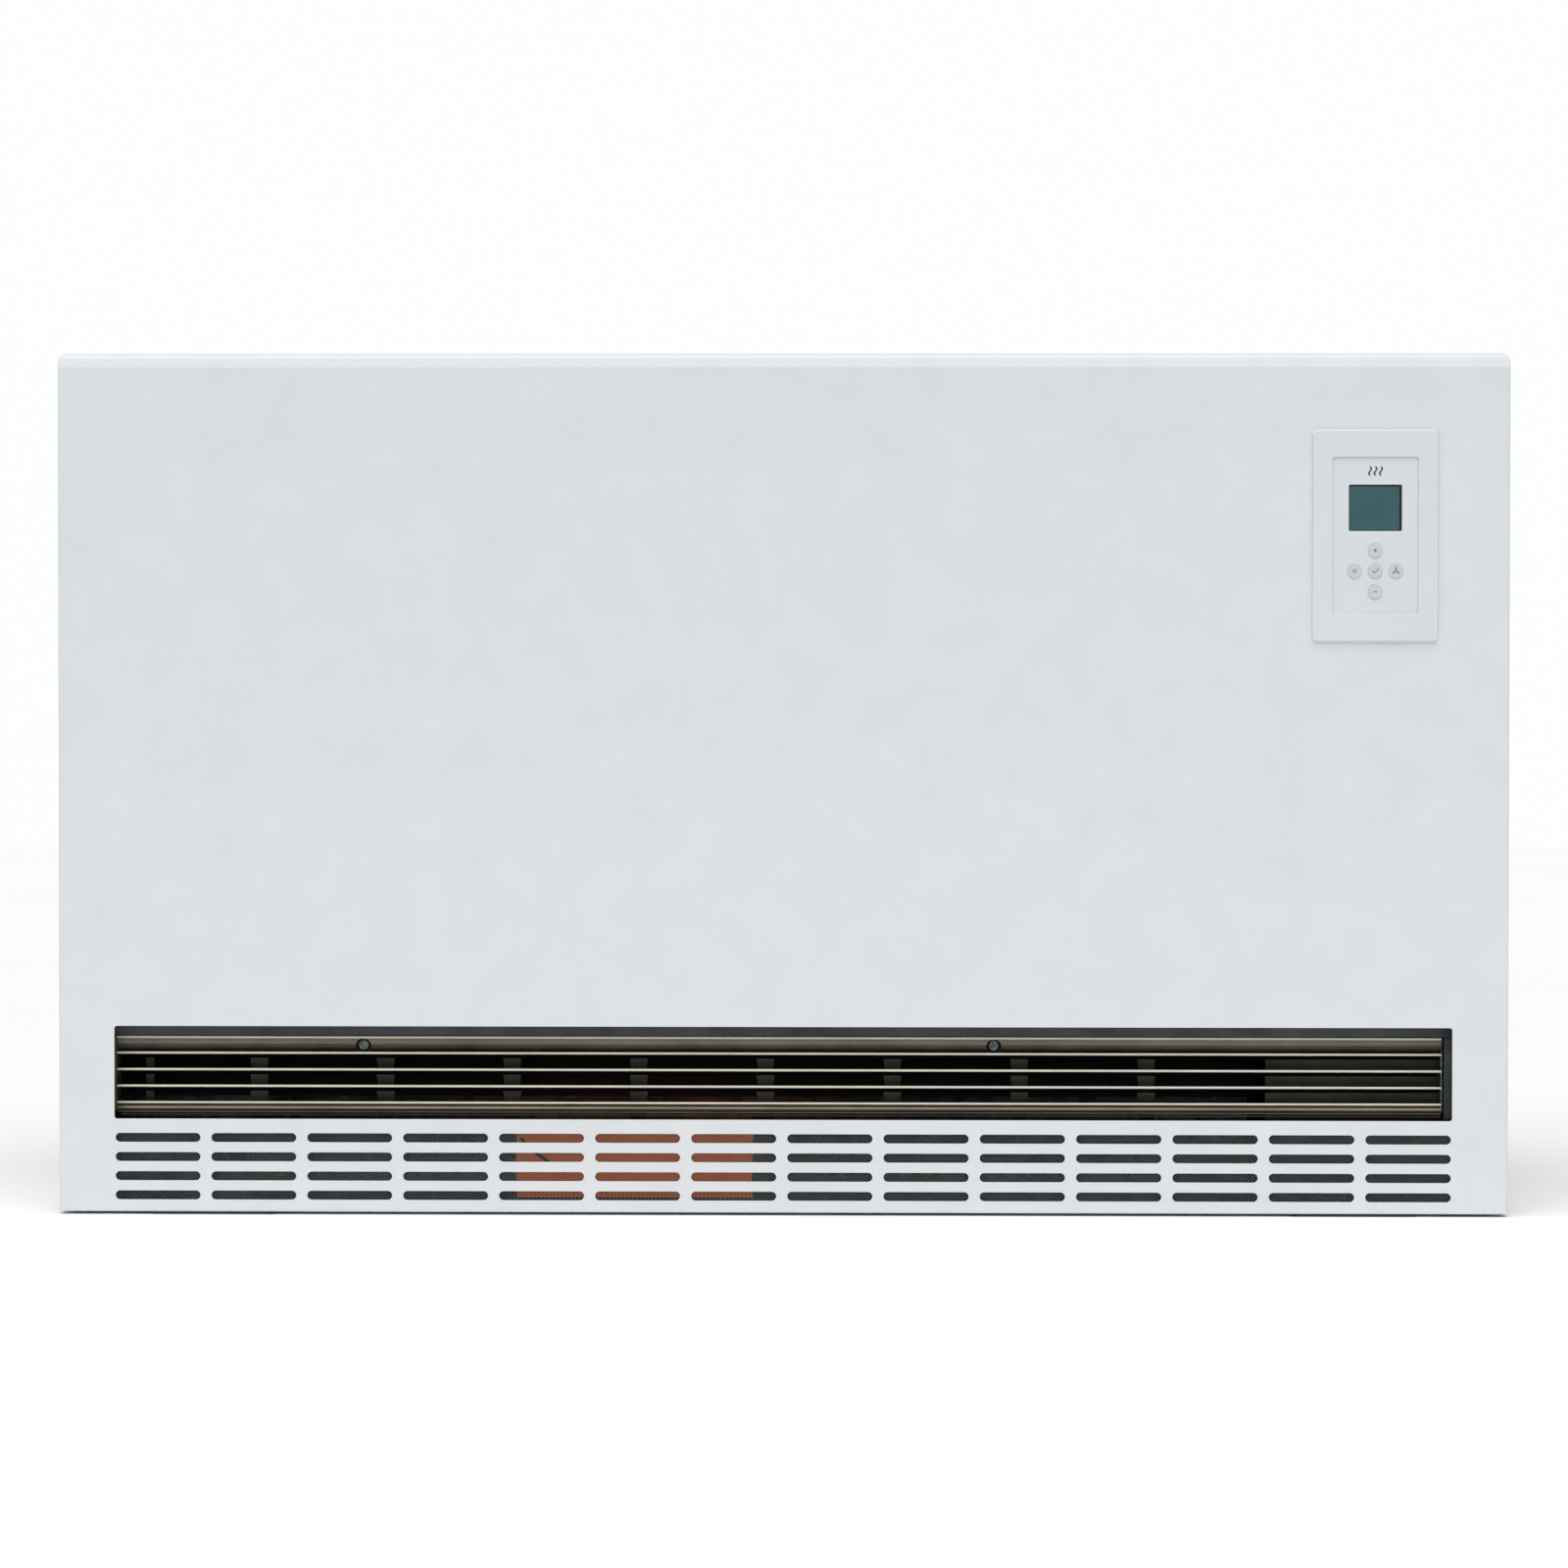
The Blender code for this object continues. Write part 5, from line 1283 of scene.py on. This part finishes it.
def grille_screws():
    """Two pan-head screws, each sunk in a well behind a hole in the band; the well's near-black is painted
    shade.
    """
    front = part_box("grille_frame")[0].y
    head_radius = 0.0045
    head_height = 0.0022
    shank_radius = 0.0019
    well_radius = 0.0062
    head_back = front + SCREW_SINK + head_height
    well_front = front + SCREW_WELL_SINK
    for side in ("left", "right"):
        node = "grille_screw_" + side
        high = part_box(node)[1]
        centre = centre_of(node)
        x, z = centre.x, centre.z
        screw = pan_screw("band_screw_" + side, (x, head_back, z), -1, head_radius, head_height)
        shank = rod("band_shank", (x, head_back, z), (x, high.y, z), shank_radius, 20)
        screw = joined("band_screw_" + side, [screw, shank])
        deliver(screw, finish("screw"), stands_for=[node])
        well_back = well_front + SCREW_WELL_DEPTH
        # The well is a thin cup in near-black painted shade round the sunk screw head.
        well = rod("screw_well_" + side, (x, well_front, z), (x, well_back, z), well_radius, 40)
        drop_faces(well, facing(y=-1))
        wall(well, SCREW_WELL_WALL)
        deliver(well, finish("well"))


def outlet_trim():
    """The sill sheet inside the outlet."""
    # The sill sheet's slate tone is painted shade.
    carried("outlet_floor", "outlet_sill", "slate", width=FINE_EDGE_ROUND)


# ---------------------------------------------------------------- fan


def fan_unit():
    """The fan tray, guard, motor, shaft, bearings and rotors."""
    # The fan tray's slate tone is painted shade.
    carried("fan_tray", "fan_base", "slate", FINE_EDGE_ROUND)
    # The guard and the motor body take the darker zinc, which is painted shade.
    carried("fan_guard", "guard_plate", "dark zinc", FINE_EDGE_ROUND)
    carried("fan_motor", "motor_body", "dark zinc", width=HOUSING_EDGE_ROUND)
    for side in ("left", "right"):
        carried("bearing_" + side, "bearing_block_" + side, "black plastic", width=HOUSING_EDGE_ROUND)
    # The motor cover's finish carries a painted glow.
    carried("motor_cover", "motor_hood", "motor", width=0.0, angle=50)
    dress(["fan_rotor_left", "fan_rotor_right"], "aluminium")
    dress(["fan_shaft"], "bright steel")


def motor_lead():
    """The dark lead that hangs in a loop in front of the motor cover."""
    bpy.ops.object.select_all(action="DESELECT")
    bpy.ops.curve.primitive_bezier_curve_add(location=(0, 0, 0))
    lead = bpy.context.object
    lead.name = "motor_lead"
    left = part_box("motor_cover")[0].x
    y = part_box("fan_guard")[0].y - LEAD_CLEARANCE
    # Each end of the lead's curve: its place, and the way and strength of its pull
    stations = (
        (Vector((left + 0.004, y + 0.002, 0.0580)), Vector((0.006, 0, -0.006))),
        (Vector((left + 0.040, y, 0.0310)), Vector((0.016, 0, -0.008))),
    )
    for point, (place, pull) in zip(lead.data.splines[0].bezier_points, stations):
        point.handle_left_type = "FREE"
        point.handle_right_type = "FREE"
        point.co = place
        point.handle_left = place - pull
        point.handle_right = place + pull
    lead.data.bevel_depth = LEAD_RADIUS
    lead.data.bevel_resolution = 3
    lead.data.use_fill_caps = True
    take(lead)
    bpy.ops.object.convert(target="MESH")
    weld(lead)
    deliver(lead, finish("cable"), angle=60)


# ---------------------------------------------------------------- core


def storage_core():
    """The chassis, bricks, elements, insulation, inner covers and the outlet flap."""
    # The chassis is painted near-black as shade, so the inside reads dark through the louvres.
    carried("core_chassis", "core_frame", "dark void")
    # The flap takes near-black painted shade.
    carried("air_flap", "flap_plate", "flap", body=FLAP)
    dress(["brick_course_{}".format(index) for index in range(1, 5)], "brick")
    dress(["heating_element_{}".format(index) for index in range(1, 4)], "element")
    boards = ["insulation_" + place for place in ("bottom", "top", "front", "back", "left", "right")]
    dress(boards, "insulation")
    dress(["core_cover", "partition_plate"], "zinc")
    dress(["flap_actuator"], "black plastic")


def electrics():
    """The control board, terminals and thermostat."""
    dress(["control_board"], "circuit board")
    dress(["terminal_block", "safety_thermostat"], "ceramic")


# ---------------------------------------------------------------- controls


def bezel():
    """The surround of the control face: a raised frame with a collar that passes through the casing."""
    sizes = bpy.context.scene.heater_sizes
    low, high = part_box("control_bezel")
    ring = rounded_block(
        "control_surround", (low.x, low.y, low.z), (high.x, CASING_FACE - UNDERSIDE / 2, high.z), "y",
        sizes.bezel_corner, 8,
    )
    round_edges(ring, rim_at(low.y), sizes.bezel_round, 4)
    collar = block(
        "control_collar", (low.x + BEZEL_OVERLAP, CASING_FACE - SHEET, low.z + BEZEL_OVERLAP),
        (high.x - BEZEL_OVERLAP, high.y, high.z - BEZEL_OVERLAP),
    )
    combine(ring, collar, "UNION")
    half = Vector((sizes.face_width / 2 + FINE_GAP, 0, sizes.face_height / 2 + FINE_GAP))
    through = (low.y - SHEET, high.y + SHEET)
    combine(ring, tile("face_opening", (low + high) / 2, half, through, sizes.face_corner, 8))
    soften(ring, sizes.bezel_inner_round, 4, angle=50)
    deliver(ring, finish("control"), stands_for=["control_bezel"], angle=30)


def control_face():
    """The flat face that carries the display and the keys."""
    sizes = bpy.context.scene.heater_sizes
    low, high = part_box("keypad_panel")
    half = Vector((sizes.face_width / 2, 0, sizes.face_height / 2))
    face = tile("control_face", (low + high) / 2, half, (low.y, high.y), sizes.face_corner, 8)
    depth = (low.y - SHEET, high.y + SHEET)
    window = Vector((sizes.display_width / 2, 0, sizes.display_height / 2))
    combine(face, tile(
        "display_opening", centre_of("display_window"), window, depth, sizes.display_corner
    ))
    for name in KEY_NAMES:
        place = centre_of("key_" + name)
        front, back = ((place.x, y, place.z) for y in depth)
        combine(face, rod("key_hole", front, back, sizes.key_radius + FINE_GAP, 64))
    soften(face, FACE_EDGE_ROUND, angle=50)
    deliver(face, finish("control"), stands_for=["keypad_panel"], angle=30)


def display():
    """The display glass, with a dark strip along the top and the right that is partly the black edge of its
    module and partly painted shade of the recess.
    """
    sizes = bpy.context.scene.heater_sizes
    low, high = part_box("display_window")
    centre = centre_of("display_window")
    half = Vector((sizes.display_width / 2 - GAP / 2, 0, sizes.display_height / 2 - GAP / 2))
    # The dark strip along the top and right stands partly for the module's black edge and partly for painted
    # shade in the recess.
    edge_top = 0.0013
    edge_right = 0.0019
    glass_corner = 0.0006
    module = tile(
        "display_module", centre, half, (low.y + 2 * UNDERSIDE, high.y), sizes.display_corner - GAP / 2
    )
    deliver(module, finish("display edge"), stands_for=["display_window"])
    outer_low = centre - half
    outer_high = centre + half
    glass = rounded_block(
        "display_glass", (outer_low.x + GAP, low.y, outer_low.z + GAP),
        (outer_high.x - edge_right, low.y + 1.5 * UNDERSIDE, outer_high.z - edge_top), "y",
        glass_corner, 5,
    )
    soften(glass, GLASS_EDGE_ROUND, angle=60)
    deliver(glass, finish("display"))


def ink_bar(front, middle_x, middle_z, width, height, turn=0.0):
    """A printed bar with round ends on a key."""
    depth = (front - INK_DEPTH, front + INK_DEPTH)
    half = Vector((width / 2, 0, height / 2))
    bar = tile("ink", Vector((middle_x, 0, middle_z)), half, depth, min(width, height) * 0.45, 4)
    if turn:
        with editing(bar):
            bpy.ops.transform.rotate(
                value=turn, orient_axis="Y", center_override=(middle_x, front, middle_z)
            )
    return bar


def plus_symbol(front, place):
    """A plus sign."""
    return [
        ink_bar(front, place.x, place.z, SIGN_LENGTH, SIGN_THICKNESS),
        ink_bar(front, place.x, place.z, SIGN_THICKNESS, SIGN_LENGTH),
    ]


def minus_symbol(front, place):
    """A minus sign."""
    return [ink_bar(front, place.x, place.z, SIGN_LENGTH, SIGN_THICKNESS)]


def ok_symbol(front, place):
    """A tick: a short and a long stroke that meet at its foot."""
    foot = Vector((place.x - 0.0006, 0, place.z - 0.0015))
    thickness = 0.0006
    strokes = []
    for reach, angle in ((0.0026, math.radians(135)), (0.0046, math.radians(48))):
        way = Vector((math.cos(angle), 0, math.sin(angle)))
        centre = foot + way * reach / 2
        strokes.append(ink_bar(front, centre.x, centre.z, reach + thickness, thickness, angle))
    return strokes


def menu_symbol(front, place):
    """Two level bars."""
    length_of_bar = 0.0034
    thickness = 0.0006
    lift = 0.0008
    heights = (place.z - lift, place.z + lift)
    return [ink_bar(front, place.x, height, length_of_bar, thickness) for height in heights]


def fan_symbol(front, place):
    """Three blades round a hub."""
    hub = 0.0010
    blade_reach = 0.0019
    blade_length = 0.0030
    blade_lean = 0.2
    strokes = [ink_bar(front, place.x, place.z, hub, hub)]
    for index in range(3):
        angle = math.radians(90 + 120 * index)
        centre = place + Vector((math.cos(angle), 0, math.sin(angle))) * blade_reach
        strokes.append(ink_bar(front, centre.x, centre.z, blade_length, hub, angle + blade_lean))
    return strokes


KEY_SYMBOLS = {
    "plus": plus_symbol, "minus": minus_symbol, "ok": ok_symbol, "menu": menu_symbol, "fan": fan_symbol,
}


def key_cap(name, place, low, high, face_back):
    """A key with a shallow dish in front and a wider flange behind the face."""
    sizes = bpy.context.scene.heater_sizes
    cap = rod(
        "key_cap_" + name, (place.x, low.y, place.z), (place.x, face_back, place.z),
        sizes.key_radius, 64,
    )
    with editing(cap, "FACE", facing(y=-1)):
        bpy.ops.mesh.inset(thickness=KEY_RIM, depth=0)
        bpy.ops.transform.translate(value=(0, KEY_DISH, 0))
    with editing(cap, "FACE", facing(y=1)):
        bpy.ops.mesh.extrude_region_move(TRANSFORM_OT_translate={"value": (0, 0, 0)})
        bpy.ops.transform.resize(value=(KEY_FLANGE, 1, KEY_FLANGE), center_override=place)
        bpy.ops.mesh.extrude_region_move(
            TRANSFORM_OT_translate={"value": (0, high.y - face_back, 0)}
        )
    rim = rim_at(low.y)
    outer = lambda edge: rim(edge) and near((middle(edge) - place).xz.length, sizes.key_radius, GAP)
    round_edges(cap, outer, FINE_EDGE_ROUND, 3)
    weld(cap)
    return cap


def keys():
    """Five round keys, each with a printed symbol."""
    face_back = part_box("keypad_panel")[1].y + GAP
    for name in KEY_NAMES:
        node = "key_" + name
        low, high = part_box(node)
        place = centre_of(node)
        cap = key_cap(name, place, low, high, face_back)
        deliver(cap, finish("key"), body=node, stands_for=[node], angle=30)
        symbol = joined("key_symbol_" + name, KEY_SYMBOLS[name](low.y + KEY_DISH, place))
        deliver(symbol, finish("ink"), body=node)


def heat_mark():
    """A plain mark of three rising waves above the display."""
    sizes = bpy.context.scene.heater_sizes
    low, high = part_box("keypad_panel")
    centre = centre_of("display_window")
    mark_z = (centre.z + sizes.display_height / 2 + high.z) / 2
    depth = (low.y - INK_DEPTH, low.y + INK_DEPTH)
    pitch = 0.0042
    half_stroke = 0.0007
    half = Vector((half_stroke, 0, WAVE_RISE))
    waves = []
    for index in (-1, 0, 1):
        wave = tile("heat_wave", Vector((centre.x + index * pitch, 0, mark_z)), half, depth)
        with editing(wave, "EDGE", edge_at("z")):
            bpy.ops.mesh.subdivide(number_cuts=16)
        with editing(wave, "VERT"):
            mesh = bmesh.from_edit_mesh(wave.data)
            for vertex in mesh.verts:
                turn = (vertex.co.z - mark_z) / WAVE_RISE * math.pi
                vertex.co.x += WAVE_SWING * math.sin(turn)
            bmesh.update_edit_mesh(wave.data)
        waves.append(wave)
    deliver(joined("heat_mark", waves), finish("mark"))


# ---------------------------------------------------------------- stage


def stage():
    """A pale floor, soft studio light and the camera."""
    low = Vector(FRAME_BOX[0])
    high = Vector(FRAME_BOX[1])
    bpy.ops.object.select_all(action="DESELECT")
    bpy.ops.mesh.primitive_circle_add(
        vertices=96, radius=FLOOR_RADIUS, fill_type="NGON", location=(0, 0, low.z - UNDERSIDE)
    )
    floor = start("studio_floor")
    floor.data.materials.append(finish("floor"))

    studio_world()
    overhead_sun()

    target = Vector((0.0, low.y, (low.z + high.z) / 2))
    yaw = math.radians(CAMERA_YAW)
    pitch = math.radians(CAMERA_PITCH)
    level = math.cos(pitch)
    back = Vector((math.sin(yaw) * level, -math.cos(yaw) * level, math.sin(pitch)))
    bpy.ops.object.camera_add(location=target + back * CAMERA_DISTANCE)
    camera = bpy.context.object
    camera.name = "studio_camera"
    camera.data.name = "studio_camera"
    camera.data.lens = CAMERA_LENS
    camera.data.sensor_width = SENSOR
    camera.data.shift_x = CAMERA_SHIFT_X
    camera.data.shift_y = CAMERA_SHIFT_Y
    camera.rotation_euler = (-back).to_track_quat("-Z", "Y").to_euler()
    camera.rotation_euler.rotate_axis("Z", math.radians(CAMERA_ROLL))
    bpy.context.scene.camera = camera


def studio_world():
    """An even white surround, which the camera sees as plain white."""
    world = bpy.data.worlds.new("studio light")
    world.use_nodes = True
    tree = world.node_tree
    background = tree.nodes["Background"]
    background.inputs["Color"].default_value = SURROUND_TINT
    seen = add_node(tree, "LightPath", {}).outputs["Is Camera Ray"]
    strength = mapped(tree, seen, low=0.0, high=1.0, to_low=SURROUND_STRENGTH)
    feed(tree, background.inputs["Strength"], strength)
    bpy.context.scene.world = world
    bpy.context.scene.view_settings.view_transform = "Standard"


def overhead_sun():
    """A very wide, soft light from above the front."""
    bpy.ops.object.light_add(type="SUN", location=(0, -2, 3))
    light = bpy.context.object
    light.name = "overhead_light"
    light.data.name = "overhead_light"
    light.data.energy = OVERHEAD_STRENGTH
    light.data.angle = math.radians(OVERHEAD_SPREAD)
    light.rotation_euler = (math.radians(90 - OVERHEAD_HEIGHT), 0, math.radians(OVERHEAD_TURN))


# ---------------------------------------------------------------- operators and panel


class HEATER_OT_casing(bpy.types.Operator):
    """Models the front sheet, the lid and the side sheets"""

    bl_idname = "heater.casing"
    bl_label = "Casing"

    def execute(self, context):
        front_casing()
        lid()
        side_sheets()
        return {"FINISHED"}


class HEATER_OT_back(bpy.types.Operator):
    """Models the back sheet, the wall rail and the cable gland"""

    bl_idname = "heater.back"
    bl_label = "Back"

    def execute(self, context):
        back_sheet()
        wall_rail()
        gland()
        return {"FINISHED"}


class HEATER_OT_base(bpy.types.Operator):
    """Models the base tray and the feet"""

    bl_idname = "heater.base"
    bl_label = "Base and Feet"

    def execute(self, context):
        base_and_feet()
        return {"FINISHED"}


class HEATER_OT_filter(bpy.types.Operator):
    """Models the filter behind the inlet slots"""

    bl_idname = "heater.filter"
    bl_label = "Inlet Filter"

    def execute(self, context):
        inlet_filter()
        return {"FINISHED"}


class HEATER_OT_grille(bpy.types.Operator):
    """Models the outlet grille with its louvres, comb and screws"""

    bl_idname = "heater.grille"
    bl_label = "Outlet Grille"

    def execute(self, context):
        grille_frame()
        louvres()
        comb()
        grille_screws()
        outlet_hood()
        outlet_trim()
        return {"FINISHED"}


class HEATER_OT_fan(bpy.types.Operator):
    """Models the fan unit and its lead"""

    bl_idname = "heater.fan"
    bl_label = "Fan"

    def execute(self, context):
        fan_unit()
        motor_lead()
        return {"FINISHED"}


class HEATER_OT_core(bpy.types.Operator):
    """Finishes the storage core, the flap and the electrical parts"""

    bl_idname = "heater.core"
    bl_label = "Core and Electrics"

    def execute(self, context):
        storage_core()
        electrics()
        return {"FINISHED"}


class HEATER_OT_controls(bpy.types.Operator):
    """Models the control surround, face, display and keys"""

    bl_idname = "heater.controls"
    bl_label = "Controls"

    def execute(self, context):
        bezel()
        control_face()
        display()
        keys()
        heat_mark()
        return {"FINISHED"}


class HEATER_OT_stage(bpy.types.Operator):
    """Sets up the floor, the lights and the camera"""

    bl_idname = "heater.stage"
    bl_label = "Studio"

    def execute(self, context):
        stage()
        return {"FINISHED"}


PIECE_OPERATORS = (
    HEATER_OT_casing,
    HEATER_OT_back,
    HEATER_OT_base,
    HEATER_OT_filter,
    HEATER_OT_grille,
    HEATER_OT_fan,
    HEATER_OT_core,
    HEATER_OT_controls,
    HEATER_OT_stage,
)


class HEATER_PT_pieces(bpy.types.Panel):
    """Lists the heater's pieces, sizes and colours"""

    bl_idname = "HEATER_PT_pieces"
    bl_label = "Fan Convector Heater"
    bl_space_type = "VIEW_3D"
    bl_region_type = "UI"
    bl_category = "Heater"

    def draw(self, context):
        for operator in PIECE_OPERATORS:
            self.layout.operator(operator.bl_idname)
        for group in (context.scene.heater_sizes, context.scene.heater_colours):
            column = self.layout.column()
            for name in group.bl_rna.properties.keys():
                if name not in ("rna_type", "name"):
                    column.prop(group, name)


CLASSES = (HeaterSizes, HeaterColours) + PIECE_OPERATORS + (HEATER_PT_pieces,)


def register():
    """Registers the classes and puts the sizes and colours on the scene."""
    for cls in CLASSES:
        bpy.utils.register_class(cls)
    bpy.types.Scene.heater_sizes = bpy.props.PointerProperty(type=HeaterSizes)
    bpy.types.Scene.heater_colours = bpy.props.PointerProperty(type=HeaterColours)


def unregister():
    """Takes the sizes, the colours and the classes away again."""
    del bpy.types.Scene.heater_colours
    del bpy.types.Scene.heater_sizes
    for cls in reversed(CLASSES):
        bpy.utils.unregister_class(cls)


def main():
    """Makes every piece in order."""
    register()
    for operator in PIECE_OPERATORS:
        family, name = operator.bl_idname.split(".")
        getattr(getattr(bpy.ops, family), name)()


if __name__ == "__main__":
    main()
